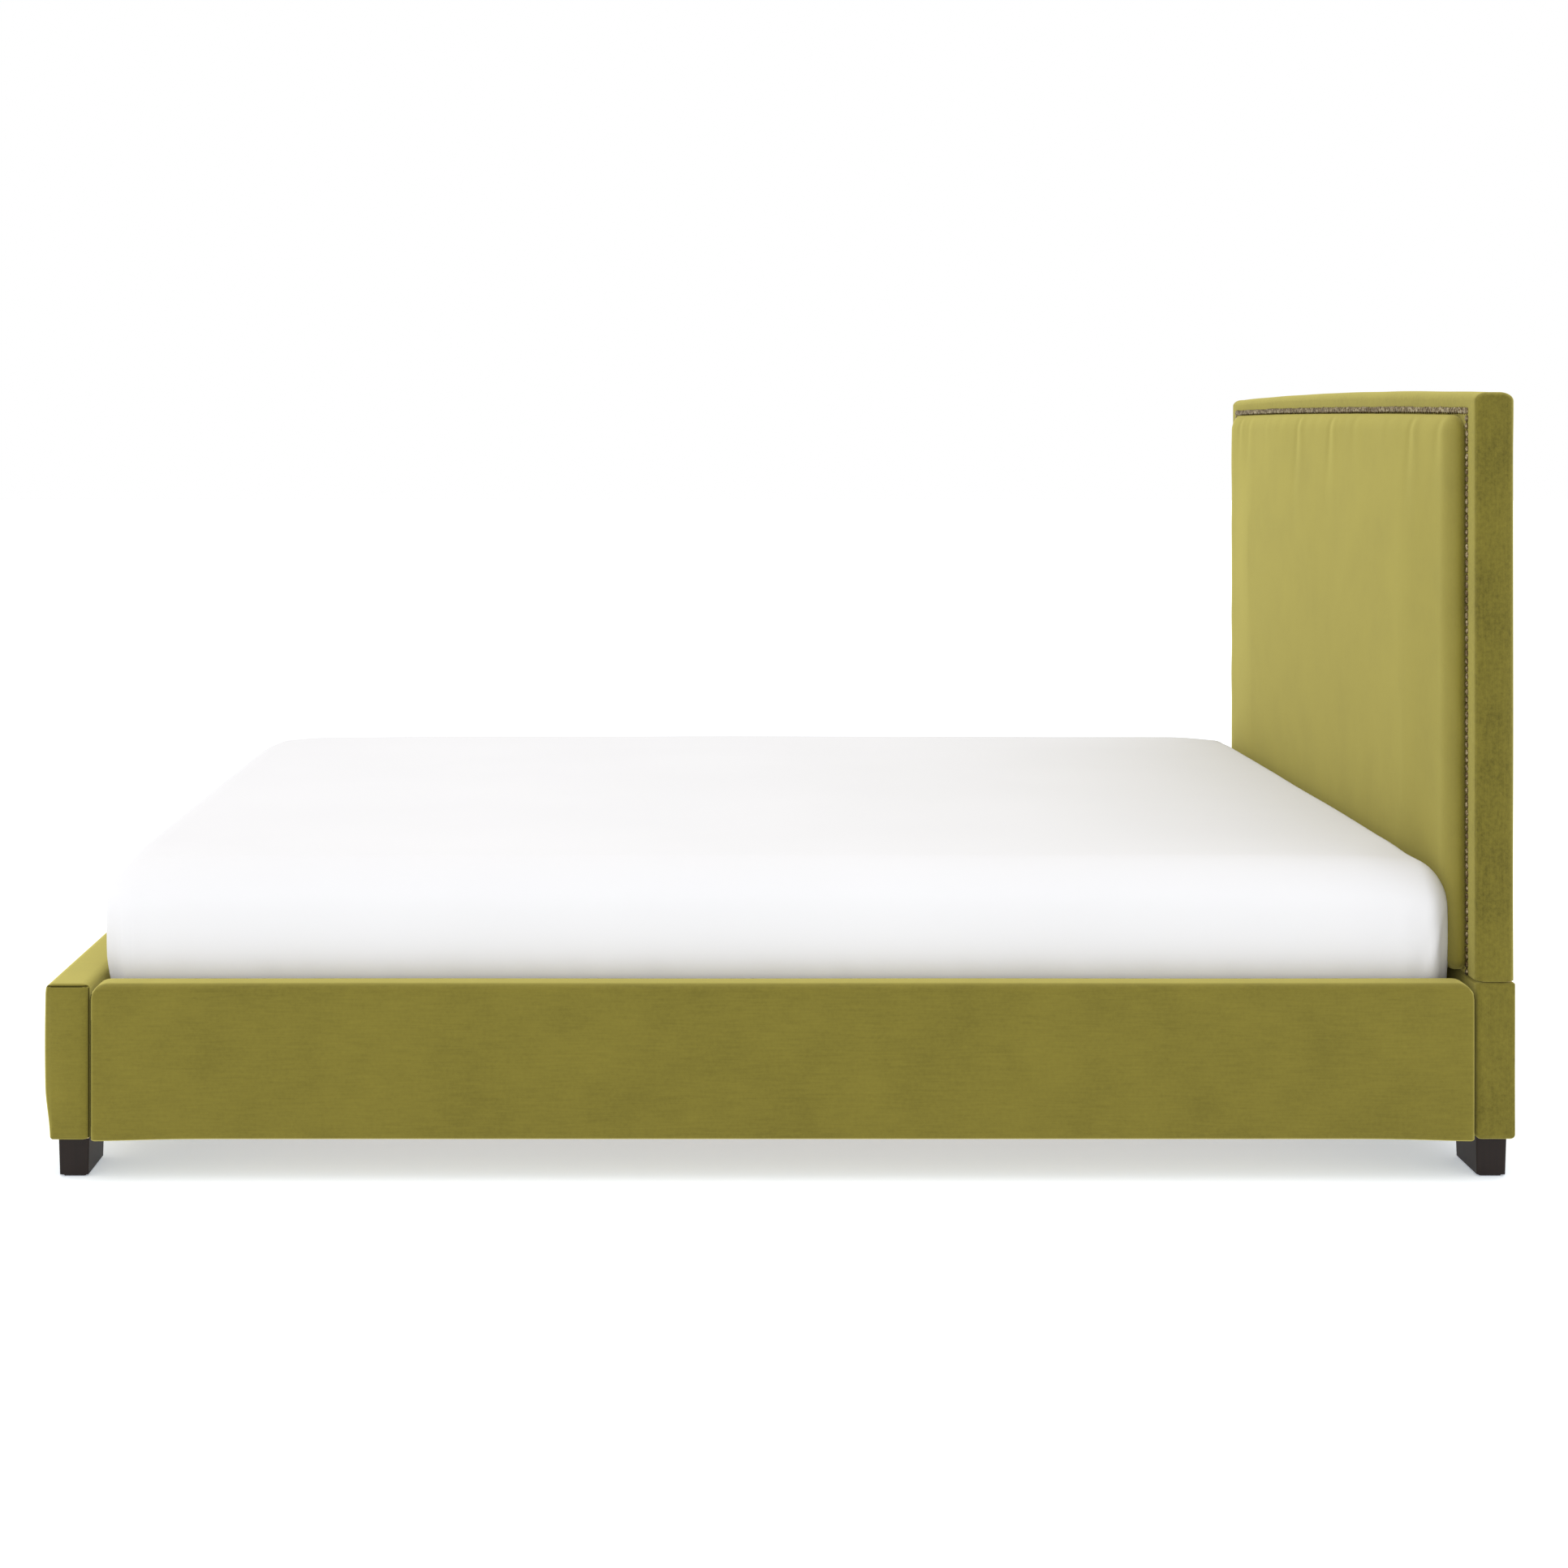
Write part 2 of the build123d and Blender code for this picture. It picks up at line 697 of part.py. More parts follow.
# ---- corner brackets and fixings ----
def bracket_holes():
    """The heights of the two holes in each leg of a corner bracket."""
    middle = cleat_bottom - BRACKET_DROP - BRACKET_HEIGHT / 2
    return (middle - BRACKET_HOLE_SPREAD / 2, middle + BRACKET_HOLE_SPREAD / 2)


def bracket_walls():
    """For each end: its name, the face that the bracket is bolted to, and the way back into the bed."""
    return (("head", head_front, -1), ("foot", foot_core_back, 1))


def build_corner_brackets():
    high = cleat_bottom - BRACKET_DROP
    low = high - BRACKET_HEIGHT
    corner = rail_core_inner
    for name, wall, inward in bracket_walls():
        reach = wall + inward * BRACKET_REACH
        face = wall + inward * BRACKET_STEEL
        rail_planes = []
        wall_planes = []
        for z in bracket_holes():
            rail_origin = (corner, wall + inward * BRACKET_HOLE_REACH, z)
            rail_planes.append(Plane(origin=rail_origin, x_dir=(0, 1, 0), z_dir=(-1, 0, 0)))
            wall_origin = (corner - BRACKET_HOLE_REACH, wall, z)
            wall_planes.append(Plane(origin=wall_origin, x_dir=(1, 0, 0), z_dir=(0, inward, 0)))
        with BuildPart() as bracket:
            add(slab(corner - BRACKET_STEEL, corner, *sorted((wall, reach)), low, high))
            add(slab(corner - BRACKET_REACH, corner, *sorted((wall, face)), low, high))
            for plane in rail_planes + wall_planes:
                with BuildSketch(plane):
                    Circle(BOLT_RADIUS + BOLT_HOLE_GAP)
                extrude(amount=BRACKET_STEEL, mode=Mode.SUBTRACT)
        save_pair(bracket.part, f"corner_bracket_{name}")


def make_bolt(grip):
    """A hexagon-head bolt: the head's seat at the origin, the shank running up +Z."""
    with BuildPart() as bolt:
        with BuildSketch(Plane.XY.offset(-BOLT_HEAD_HEIGHT)):
            RegularPolygon(BOLT_HEAD_RADIUS, 6, major_radius=False)
        extrude(amount=BOLT_HEAD_HEIGHT)
        with BuildSketch(Plane.XY):
            Circle(BOLT_RADIUS)
        extrude(amount=BRACKET_STEEL + grip)
        chamfer(bolt.edges().group_by(Axis.Z)[-1], BOLT_END_CHAMFER)
    return bolt.part


def build_corner_bolts():
    rail_seat = rail_core_inner - BRACKET_STEEL
    short_places = []
    long_places = []
    for name, wall, inward in bracket_walls():
        for side in (-1, 1):
            for z in bracket_holes():
                rail_origin = (side * rail_seat, wall + inward * BRACKET_HOLE_REACH, z)
                short_places.append(Plane(origin=rail_origin, x_dir=(0, 0, 1), z_dir=(side, 0, 0)))
                wall_x = side * (rail_core_inner - BRACKET_HOLE_REACH)
                wall_origin = (wall_x, wall + inward * BRACKET_STEEL, z)
                wall_place = Plane(origin=wall_origin, x_dir=(0, 0, 1), z_dir=(0, -inward, 0))
                if name == "head":
                    long_places.append(wall_place)
                else:
                    short_places.append(wall_place)
    with BuildPart() as bolts:
        with Locations(*short_places):
            add(make_bolt(BOLT_GRIP))
        with Locations(*long_places):
            add(make_bolt(HEAD_BOLT_GRIP))
    save(bolts.part, "corner_bolts")


def build_frame_screws():
    with BuildPart() as screw:
        with BuildSketch(Plane.XZ):
            with BuildLine():
                Polyline(
                    (0, 0),
                    (SCREW_HEAD_RADIUS, 0),
                    (SCREW_RADIUS, SCREW_HEAD_DEPTH),
                    (SCREW_RADIUS, SCREW_LENGTH - 2 * SCREW_RADIUS),
                    (0, SCREW_LENGTH),
                    close=True,
                )
            make_face()
        revolve(axis=Axis.Z)

    places = []
    core_near = foot_inner + BUTT_GAP + COVER + END_PAD
    core_far = head_front - BUTT_GAP - COVER - END_PAD
    first = core_near + CLEAT_SCREW_MARGIN
    last = core_far - CLEAT_SCREW_MARGIN
    slat_ends = (slat_places()[0], slat_places()[-1])
    for side in (-1, 1):
        cleat_face = side * (rail_core_inner - CLEAT_WIDTH)
        for step in range(CLEAT_SCREWS):
            y = first + step * (last - first) / (CLEAT_SCREWS - 1)
            origin = (cleat_face, y, slat_bottom - CLEAT_HEIGHT / 2)
            places.append(Plane(origin=origin, x_dir=(0, 0, 1), z_dir=(side, 0, 0)))
        for y in slat_ends:
            origin = (side * (rail_core_inner - CLEAT_WIDTH / 2), y, slat_top)
            places.append(Plane(origin=origin, x_dir=(1, 0, 0), z_dir=(0, 0, -1)))
    flange_x = BEAM_WIDTH / 2 + HANGER_GAP + HANGER_STEEL + HANGER_FLANGE / 2
    flange_low = beam_bottom - HANGER_STEEL + HANGER_SCREW_INSET
    flange_high = beam_bottom - HANGER_STEEL + HANGER_HEIGHT - HANGER_SCREW_INSET
    for name, wall, inward in bracket_walls():
        for x in (-flange_x, flange_x):
            for z in (flange_low, flange_high):
                origin = (x, wall + inward * HANGER_STEEL, z)
                places.append(Plane(origin=origin, x_dir=(1, 0, 0), z_dir=(0, -inward, 0)))
    with BuildPart() as screws:
        with Locations(*places):
            add(screw.part)
    save(screws.part, "frame_screws")


# ---- mattress and its sheet ----
def build_mattress():
    top = mattress_bottom + MATTRESS_HEIGHT
    comfort_bottom = top - SHEET - TICKING - COMFORT_LAYER
    inner = SHEET + TICKING
    core = mattress_block(inner, mattress_bottom, comfort_bottom)
    save(core, "mattress_core")
    save(mattress_block(inner, comfort_bottom, top), "comfort_layer")

    side = MATTRESS_WIDTH / 2 - SHEET_TUCK
    near = mattress_foot + SHEET_TUCK
    far = mattress_foot + MATTRESS_LENGTH - SHEET_TUCK
    with BuildPart() as sheet:
        add(mattress_block(0, mattress_bottom, top))
        add(mattress_block(SHEET, mattress_bottom, top), mode=Mode.SUBTRACT)
        opening = slab(-side, side, near, far, 0, mattress_bottom + inner)
        add(opening, mode=Mode.SUBTRACT)
    save(sheet.part, "fitted_sheet")

    base_inset = SHEET + MATTRESS_CORNER / 2
    side = MATTRESS_WIDTH / 2 - base_inset
    near = mattress_foot + base_inset
    far = mattress_foot + MATTRESS_LENGTH - base_inset
    gap = PANEL_EDGE_GAP
    with BuildPart() as ticking:
        add(mattress_block(SHEET, mattress_bottom, top))
        add(mattress_block(inner, mattress_bottom, top), mode=Mode.SUBTRACT)
        opening = slab(-side, side, near, far, 0, mattress_bottom + inner)
        add(opening, mode=Mode.SUBTRACT)
    save(ticking.part, "mattress_cover")
    base = slab(
        gap - side, side - gap, near + gap, far - gap, mattress_bottom + SHEET, mattress_bottom + inner
    )
    save(base, "mattress_base_cloth")


def main():
    build_headboard_frame()
    build_headboard_border()
    build_headboard_panel()
    build_headboard_lower()
    build_nails()
    build_side_rails()
    build_footboard()
    build_slats()
    build_centre_support()
    build_corner_legs()
    build_corner_brackets()
    build_corner_bolts()
    build_frame_screws()
    build_mattress()


main()
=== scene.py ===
"""Looks of an upholstered queen platform bed, laid out as a Blender add-on and run as a script."""

import math

import bmesh
import bpy
import numpy as np
from mathutils import Matrix, Vector


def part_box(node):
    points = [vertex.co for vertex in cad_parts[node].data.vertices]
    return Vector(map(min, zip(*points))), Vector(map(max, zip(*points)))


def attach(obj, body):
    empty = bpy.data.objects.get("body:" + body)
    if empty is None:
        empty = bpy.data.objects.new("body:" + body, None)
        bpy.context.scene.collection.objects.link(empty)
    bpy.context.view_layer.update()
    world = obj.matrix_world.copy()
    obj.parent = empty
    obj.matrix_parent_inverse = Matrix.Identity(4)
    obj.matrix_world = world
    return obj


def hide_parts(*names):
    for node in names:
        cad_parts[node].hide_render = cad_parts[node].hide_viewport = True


bl_info = {
    "name": "Upholstered Bed",
    "version": (1, 0, 0),
    "blender": (4, 5, 0),
    "location": "3D View > Sidebar > Bed",
    "description": "Velvet bed with a nail-trimmed headboard, built round a packed frame",
    "category": "Object",
}

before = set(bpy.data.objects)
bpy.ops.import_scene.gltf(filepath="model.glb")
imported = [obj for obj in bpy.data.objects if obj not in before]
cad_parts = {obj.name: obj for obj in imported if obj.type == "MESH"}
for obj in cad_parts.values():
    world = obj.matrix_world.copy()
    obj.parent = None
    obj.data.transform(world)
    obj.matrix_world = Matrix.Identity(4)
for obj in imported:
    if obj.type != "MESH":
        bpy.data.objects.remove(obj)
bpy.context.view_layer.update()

MM = 0.001
FRAME_BODY = "bed_frame"
MATTRESS_BODY = "mattress"
# the cover over the panel's foam, and how far the top row of nails arches in its middle
VELVET_THICKNESS = 2 * MM
ROW_CROWN = 3.5 * MM
# how far the border's top arches in its middle, and how far its back swells past the flat cloth
BORDER_CROWN = 8 * MM
BACK_SWELL = 1.4 * MM
# how far the velvet of rails and footboard sags below the underside of their covers
COVER_HANG = 0.6 * MM


def span(*nodes):
    """The lowest and highest corners of several CAD nodes together."""
    lows, highs = zip(*(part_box(node) for node in nodes))
    low = Vector([min(corner[axis] for corner in lows) for axis in range(3)])
    high = Vector([max(corner[axis] for corner in highs) for axis in range(3)])
    return low, high


# ---- sizes and colours a user would change ----
def length(name, description, default):
    """A length property shown in metres."""
    return bpy.props.FloatProperty(
        name=name, description=description, default=default, min=0.0, unit="LENGTH", precision=4
    )


def colour(name, description, default):
    """A colour property, given as an sRGB hex value."""
    return bpy.props.FloatVectorProperty(
        name=name,
        description=description,
        default=from_hex(default),
        size=3,
        min=0.0,
        max=1.0,
        subtype="COLOR",
    )


def from_hex(text):
    """An sRGB hex value as linear red, green and blue."""
    parts = [int(text[place : place + 2], 16) / 255 for place in (1, 3, 5)]
    return tuple(
        part / 12.92 if part <= 0.04045 else ((part + 0.055) / 1.055) ** 2.4 for part in parts
    )


class BedSizes(bpy.types.PropertyGroup):
    panel_roll: length(
        "Panel roll", "How far the panel's padding rolls over inside the nails", 55 * MM
    )
    panel_fall: length(
        "Panel fall", "How much thinner the panel is at its edges than in its middle", 8.5 * MM
    )
    pucker_depth: length("Pucker depth", "Depth of the folds below the top row of nails", 0.9 * MM)
    border_round: length(
        "Border rounding", "Rounding of the headboard's front and top edges", 19 * MM
    )
    rail_round: length("Rail rounding", "Rounding of the side rails' long top edges", 13 * MM)
    rail_corner: length(
        "Rail corner", "Rounding of the side rails' top corners, seen from the side", 25 * MM
    )
    mattress_corner: length("Mattress corner", "Rounding of the mattress's four corners", 60 * MM)
    mattress_round: length("Mattress rounding", "Rounding of the mattress's top edge", 72 * MM)
    mattress_crown: length(
        "Mattress crown", "How much higher the mattress is in its middle", 6 * MM
    )
    nail_radius: length("Nail radius", "Radius of a dome nail's head", 5.6 * MM)
    nail_height: length("Nail height", "Height of a dome nail's head", 3.0 * MM)


class BedColours(bpy.types.PropertyGroup):
    velvet: colour("Velvet", "Velvet seen face on", "#6F6627")
    velvet_tip: colour(
        "Velvet tips", "Light that the tips of the pile throw at a shallow angle", "#FFF28E"
    )
    cotton: colour("Sheet", "Fitted sheet", "#E3E2E3")
    knit: colour("Mattress knit", "Knitted mattress cover", "#E9E6E0")
    pine: colour("Pine", "Planed pine of slats and frame", "#D9B98A")
    espresso: colour("Espresso stain", "Stained wood of the legs", "#1C110C")
    nail: colour("Nail", "Aged brass of the dome nails", "#6F6044")


# ---- meshes ----
def gridded_box(counts):
    """A bmesh cube from -1 to 1, cut into `counts` cells along X, Y and Z."""
    mesh = bmesh.new()
    bmesh.ops.create_cube(mesh, size=2)
    for axis, count in enumerate(counts):
        if count > 1:
            along = [
                edge
                for edge in mesh.edges
                if abs(edge.verts[0].co[axis] - edge.verts[1].co[axis]) > 1.0
            ]
            bmesh.ops.subdivide_edges(mesh, edges=along, cuts=count - 1, use_grid_fill=True)
    return mesh


def rounded_form(low, high, radii_low, radii_high, cell, roll_cells):
    """A closed padded form: a box whose edges roll over on ellipses.

    radii_low and radii_high hold the roll along X, Y and Z at the low and high side of each axis.
    cell is the size of a face on the flats, and roll_cells is the number of faces round each roll.
    Returns the bmesh and an array of its points in metres."""
    low, high = np.array(low, float), np.array(high, float)
    near, far = np.array(radii_low, float), np.array(radii_high, float)
    flat = high - low - near - far
    counts = [2 * roll_cells + max(1, round(flat[axis] / cell)) for axis in range(3)]
    mesh = gridded_box(counts)
    unit = np.array([vert.co for vert in mesh.verts], float)
    points = np.empty_like(unit)
    for axis in range(3):
        share = 2 * roll_cells / counts[axis]
        points[:, axis] = np.interp(
            unit[:, axis],
            [-1, -1 + share, 1 - share, 1],
            [low[axis], low[axis] + near[axis], high[axis] - far[axis], high[axis]],
        )
    inner = np.clip(points, low + near, high - far)
    radii = np.where(points > inner, far, near)
    offset = (points - inner) / np.maximum(radii, 1e-9)
    reach = np.linalg.norm(offset, axis=1, keepdims=True)
    points = inner + radii * offset / np.maximum(reach, 1.0)
    return mesh, points


def finish_mesh(mesh, points, name, material, smooth=True):
    """Puts the points in the bmesh, makes an object of it and links it to the scene."""
    if points is not None:
        for vert, point in zip(mesh.verts, points):
            vert.co = point
    bmesh.ops.recalc_face_normals(mesh, faces=mesh.faces)
    data = bpy.data.meshes.new(name)
    mesh.to_mesh(data)
    mesh.free()
    data.polygons.foreach_set("use_smooth", [smooth] * len(data.polygons))
    data.materials.append(material)
    piece = bpy.data.objects.new(name, data)
    bpy.context.scene.collection.objects.link(piece)
    return piece


def ripple(points, wavelength, seed, stretch=(1, 1, 1)):
    """A smooth random field, mostly from -1 to 1: plane waves in seeded directions.

    Waves are about `wavelength` long, and longer along an axis by its stretch."""
    chance = np.random.default_rng(seed)
    waves = 7
    largest_usual_sum = 2.2
    directions = chance.normal(size=(waves, 3))
    directions /= np.linalg.norm(directions, axis=1, keepdims=True)
    pitches = wavelength * chance.uniform(0.7, 1.5, waves)
    phases = chance.uniform(0, 2 * math.pi, waves)
    stretched = points / np.array(stretch)
    turns = 2 * math.pi * (stretched @ directions.T) / pitches + phases
    return np.sin(turns).mean(axis=1) * math.sqrt(2 * waves) / largest_usual_sum


def round_top_corners(points, start, end, top, radius):
    """Rounds the top corners, seen along X, of a form that runs from `start` to `end` along Y."""
    for limit, outward in ((start, -1), (end, 1)):
        along = np.clip((radius - outward * (limit - points[:, 1])) / radius, 0, 1)
        up = np.clip((points[:, 2] - (top - radius)) / radius, 0, 1)
        points[:, 1] += outward * radius * along * (np.sqrt(1 - up**2 / 2) - 1)
        points[:, 2] += radius * up * (np.sqrt(1 - along**2 / 2) - 1)


def ease(value, start, end):
    """0 up to start, 1 from end on, and a smooth rise between."""
    share = np.clip((value - start) / (end - start), 0, 1)
    return share * share * (3 - 2 * share)


def ridge(value, centre, width):
    """A smooth bump, 1 at the centre and nearly 0 two widths away."""
    return np.exp(-(((value - centre) / width) ** 2))


# ---- materials ----
def add_node(tree, kind, inputs=None, links=None, stops=None, **settings):
    """Adds one shader node with its settings, its constant inputs and its links.

    A ramp also takes its stops: the first two are the ramp's own, and later ones are added."""
    node = tree.nodes.new(kind)
    for key, value in settings.items():
        setattr(node, key, value)
    for key, value in (inputs or {}).items():
        node.inputs[key].default_value = value
    for key, socket in (links or {}).items():
        tree.links.new(socket, node.inputs[key])
    for number, (place, tone) in enumerate(stops or ()):
        elements = node.color_ramp.elements
        element = elements[number] if number < 2 else elements.new(place)
        element.position, element.color = place, tone
    return node


def new_material(name):
    """A node material holding only its output, with its tree and the object coordinates ready."""
    material = bpy.data.materials.new(name)
    material.use_nodes = True
    tree = material.node_tree
    tree.nodes.clear()
    output = add_node(tree, "ShaderNodeOutputMaterial")
    place = add_node(tree, "ShaderNodeTexCoord").outputs["Object"]
    return material, tree, place, output.inputs["Surface"]


def rgba(value, gain=1.0):
    """A linear colour, made lighter or darker by gain, as a socket takes it."""
    return (*[min(part * gain, 1.0) for part in value], 1.0)


def velvet_material(name, colours, depth, crush, brush_axis, patchy, streaky, sheen=1.0):
    """Cotton velvet, woven with an upright cut pile.

    The pile is dark face on and bright at a shallow angle, so the sheen carries the light, and the
    nap lies in brushed strokes and hand-worn patches. depth scales the whole colour darker; where
    it is low, in the dark velvet of seams and creases, it is painted shade. crush is how strong the
    marks are, and patchy and streaky are their shares."""
    material, tree, place, surface = new_material(name)
    # patches left by hands are some 110 mm across, and tufts lean together over 6 mm
    hands = add_node(
        tree,
        "ShaderNodeTexNoise",
        inputs={"Scale": 1 / 0.11, "Detail": 3.0, "Roughness": 0.6},
        links={"Vector": place},
    )
    fine = add_node(
        tree,
        "ShaderNodeTexNoise",
        inputs={"Scale": 1 / 0.006, "Detail": 4.0, "Roughness": 0.75},
        links={"Vector": place},
    )
    # the brushed nap lies in strokes some 50 mm long and 3 mm wide
    stroke = [1 / 0.003] * 3
    stroke[brush_axis] = 1 / 0.05
    brushed = add_node(
        tree, "ShaderNodeMapping", inputs={"Scale": stroke}, links={"Vector": place}
    )
    strokes = add_node(
        tree,
        "ShaderNodeTexNoise",
        inputs={"Scale": 1.0, "Detail": 3.0, "Roughness": 0.65},
        links={"Vector": brushed.outputs["Vector"]},
    )
    total = add_node(
        tree,
        "ShaderNodeMath",
        operation="MULTIPLY",
        inputs={1: patchy},
        links={0: hands.outputs["Fac"]},
    )
    for share, field in ((streaky, strokes), (1 - patchy - streaky, fine)):
        total = add_node(
            tree,
            "ShaderNodeMath",
            operation="MULTIPLY_ADD",
            inputs={1: share},
            links={0: field.outputs["Fac"], 2: total.outputs[0]},
        )
    base = colours.velvet
    tone = add_node(
        tree,
        "ShaderNodeValToRGB",
        links={"Fac": total.outputs[0]},
        stops=[
            (0.35, rgba(base, depth * (1 - 0.42 * crush))),
            (0.65, rgba(base, depth * (1 + 0.3 * crush))),
            (0.5, rgba(base, depth)),
        ],
    )
    # the tips of the pile stand 2 mm and are about 0.5 mm apart; drawn at 1.5 mm so that they show
    pile = add_node(
        tree,
        "ShaderNodeTexNoise",
        inputs={"Scale": 1 / 0.0015, "Detail": 2.0},
        links={"Vector": place},
    )
    bump = add_node(
        tree,
        "ShaderNodeBump",
        inputs={"Strength": 0.12, "Distance": 0.0006},
        links={"Height": pile.outputs["Fac"]},
    )
    hollow = add_node(
        tree,
        "ShaderNodeBump",
        inputs={"Strength": 0.12 + 0.2 * crush, "Distance": 0.0012},
        links={"Height": total.outputs[0], "Normal": bump.outputs["Normal"]},
    )
    shader = add_node(
        tree,
        "ShaderNodeBsdfPrincipled",
        inputs={
            "Roughness": 0.92,
            "IOR": 1.46,
            "Specular IOR Level": 0.15,
            "Sheen Weight": sheen,
            "Sheen Roughness": 0.5,
            "Sheen Tint": rgba(colours.velvet_tip),
        },
        links={"Base Color": tone.outputs["Color"], "Normal": hollow.outputs["Normal"]},
    )
    tree.links.new(shader.outputs["BSDF"], surface)
    return material


def cloth_material(name, tone, thread, shade):
    """Plain-woven or knitted cloth: matt, with threads `thread` metres apart and a soft unevenness.

    The threads are drawn coarser than the real ones, so that they show."""
    material, tree, place, surface = new_material(name)
    uneven = add_node(
        tree,
        "ShaderNodeTexNoise",
        inputs={"Scale": 1 / 0.35, "Detail": 2.0},
        links={"Vector": place},
    )
    shades = add_node(
        tree,
        "ShaderNodeValToRGB",
        links={"Fac": uneven.outputs["Fac"]},
        stops=[(0.3, rgba(tone, 1 - shade)), (0.7, rgba(tone))],
    )
    # a band pattern's scale of 1 repeats every pi / 10 metres
    threads = [
        add_node(
            tree,
            "ShaderNodeTexWave",
            wave_type="BANDS",
            bands_direction=rows,
            inputs={"Scale": math.pi / (10 * thread), "Distortion": 0.4, "Detail": 1.0},
            links={"Vector": place},
        )
        for rows in ("X", "Y")
    ]
    weave = add_node(
        tree,
        "ShaderNodeMath",
        operation="MULTIPLY",
        links={number: rows.outputs["Fac"] for number, rows in enumerate(threads)},
    )
    bump = add_node(
        tree,
        "ShaderNodeBump",
        inputs={"Strength": 0.08, "Distance": 0.0003},
        links={"Height": weave.outputs[0]},
    )
    shader = add_node(
        tree,
        "ShaderNodeBsdfPrincipled",
        inputs={"Roughness": 0.85, "IOR": 1.5, "Specular IOR Level": 0.25, "Sheen Weight": 0.08},
        links={"Base Color": shades.outputs["Color"], "Normal": bump.outputs["Normal"]},
    )
    tree.links.new(shader.outputs["BSDF"], surface)
    return material


def wood_material(name, tone, grain_axis, contrast, roughness, gloss):
    """Planed timber: growth rings cut along the grain show as long streaks, with pores between.

    Streaks are some 16 mm apart and 450 mm long, pores 2 mm apart and 60 mm long."""
    material, tree, place, surface = new_material(name)
    patterns = []
    for apart, along, detail in ((0.0158, 0.45, 5.0), (0.0021, 0.06, 2.0)):
        grain = [1 / apart] * 3
        grain[grain_axis] = 1 / along
        sawn = add_node(
            tree, "ShaderNodeMapping", inputs={"Scale": grain}, links={"Vector": place}
        )
        patterns.append(
            add_node(
                tree,
                "ShaderNodeTexNoise",
                inputs={"Scale": 1.0, "Detail": detail, "Roughness": 0.6},
                links={"Vector": sawn.outputs["Vector"]},
            )
        )
    streaks, pores = patterns
    mixed = add_node(
        tree,
        "ShaderNodeMath",
        operation="MULTIPLY_ADD",
        inputs={1: 0.3},
        links={0: pores.outputs["Fac"], 2: streaks.outputs["Fac"]},
    )
    shades = add_node(
        tree,
        "ShaderNodeValToRGB",
        links={"Fac": mixed.outputs[0]},
        stops=[
            (0.45, rgba(tone, 1 - contrast)),
            (0.85, rgba(tone, 1 + 0.4 * contrast)),
            (0.65, rgba(tone)),
        ],
    )
    bump = add_node(
        tree,
        "ShaderNodeBump",
        inputs={"Strength": 0.15, "Distance": 0.0005},
        links={"Height": mixed.outputs[0]},
    )
    shader = add_node(
        tree,
        "ShaderNodeBsdfPrincipled",
        inputs={"Roughness": roughness, "IOR": 1.5, "Specular IOR Level": gloss},
        links={"Base Color": shades.outputs["Color"], "Normal": bump.outputs["Normal"]},
    )
    tree.links.new(shader.outputs["BSDF"], surface)
    return material


def coated_material(name, tone, size, metallic, roughness, spread, depth):
    """Moulded plastic, powder coat, plating or felt, with a fine unevenness `size` metres across.

    spread is how much its tone changes, and depth is how deep the unevenness is."""
    material, tree, place, surface = new_material(name)
    grain = add_node(
        tree,
        "ShaderNodeTexNoise",
        inputs={"Scale": 1 / size, "Detail": 3.0, "Roughness": 0.6},
        links={"Vector": place},
    )
    shades = add_node(
        tree,
        "ShaderNodeValToRGB",
        links={"Fac": grain.outputs["Fac"]},
        stops=[(0.35, rgba(tone, 1 - spread)), (0.65, rgba(tone, 1 + spread))],
    )
    bump = add_node(
        tree,
        "ShaderNodeBump",
        inputs={"Strength": 0.2, "Distance": depth},
        links={"Height": grain.outputs["Fac"]},
    )
    shader = add_node(
        tree,
        "ShaderNodeBsdfPrincipled",
        inputs={"Roughness": roughness, "Metallic": metallic},
        links={"Base Color": shades.outputs["Color"], "Normal": bump.outputs["Normal"]},
    )
    tree.links.new(shader.outputs["BSDF"], surface)
    return material


def nail_material(name, tone):
    """Antiqued brass nail, plated and then rubbed back: dark in the low places, bright on top."""
    material, tree, place, surface = new_material(name)
    patina = add_node(
        tree,
        "ShaderNodeTexNoise",
        inputs={"Scale": 1 / 0.005, "Detail": 3.0, "Roughness": 0.65},
        links={"Vector": place},
    )
    shades = add_node(
        tree,
        "ShaderNodeValToRGB",
        links={"Fac": patina.outputs["Fac"]},
        stops=[
            (0.32, rgba(from_hex("#4A3B25"))),
            (0.7, rgba(from_hex("#B3A684"))),
            (0.5, rgba(tone)),
        ],
    )
    rough = add_node(
        tree,
        "ShaderNodeMapRange",
        inputs={"From Min": 0.3, "From Max": 0.7, "To Min": 0.5, "To Max": 0.3},
        links={"Value": patina.outputs["Fac"]},
    )
    bump = add_node(
        tree,
        "ShaderNodeBump",
        inputs={"Strength": 0.4, "Distance": 0.0004},
        links={"Height": patina.outputs["Fac"]},
    )
    shader = add_node(
        tree,
        "ShaderNodeBsdfPrincipled",
        inputs={"Metallic": 1.0},
        links={
            "Base Color": shades.outputs["Color"],
            "Roughness": rough.outputs["Result"],
            "Normal": bump.outputs["Normal"],
        },
    )
    tree.links.new(shader.outputs["BSDF"], surface)
    return material


def shared(name, maker, **details):
    """The material of that name, made the first time it is asked for."""
    return bpy.data.materials.get(name) or maker(name, **details)


def velvet_smooth():
    """Velvet stretched over the rails and footboard, brushed along them."""
    return shared(
        "cotton_velvet_brushed",
        velvet_material,
        colours=bpy.context.scene.bed_colours,
        depth=1.0,
        crush=0.5,
        brush_axis=1,
        patchy=0.36,
        streaky=0.32,
    )


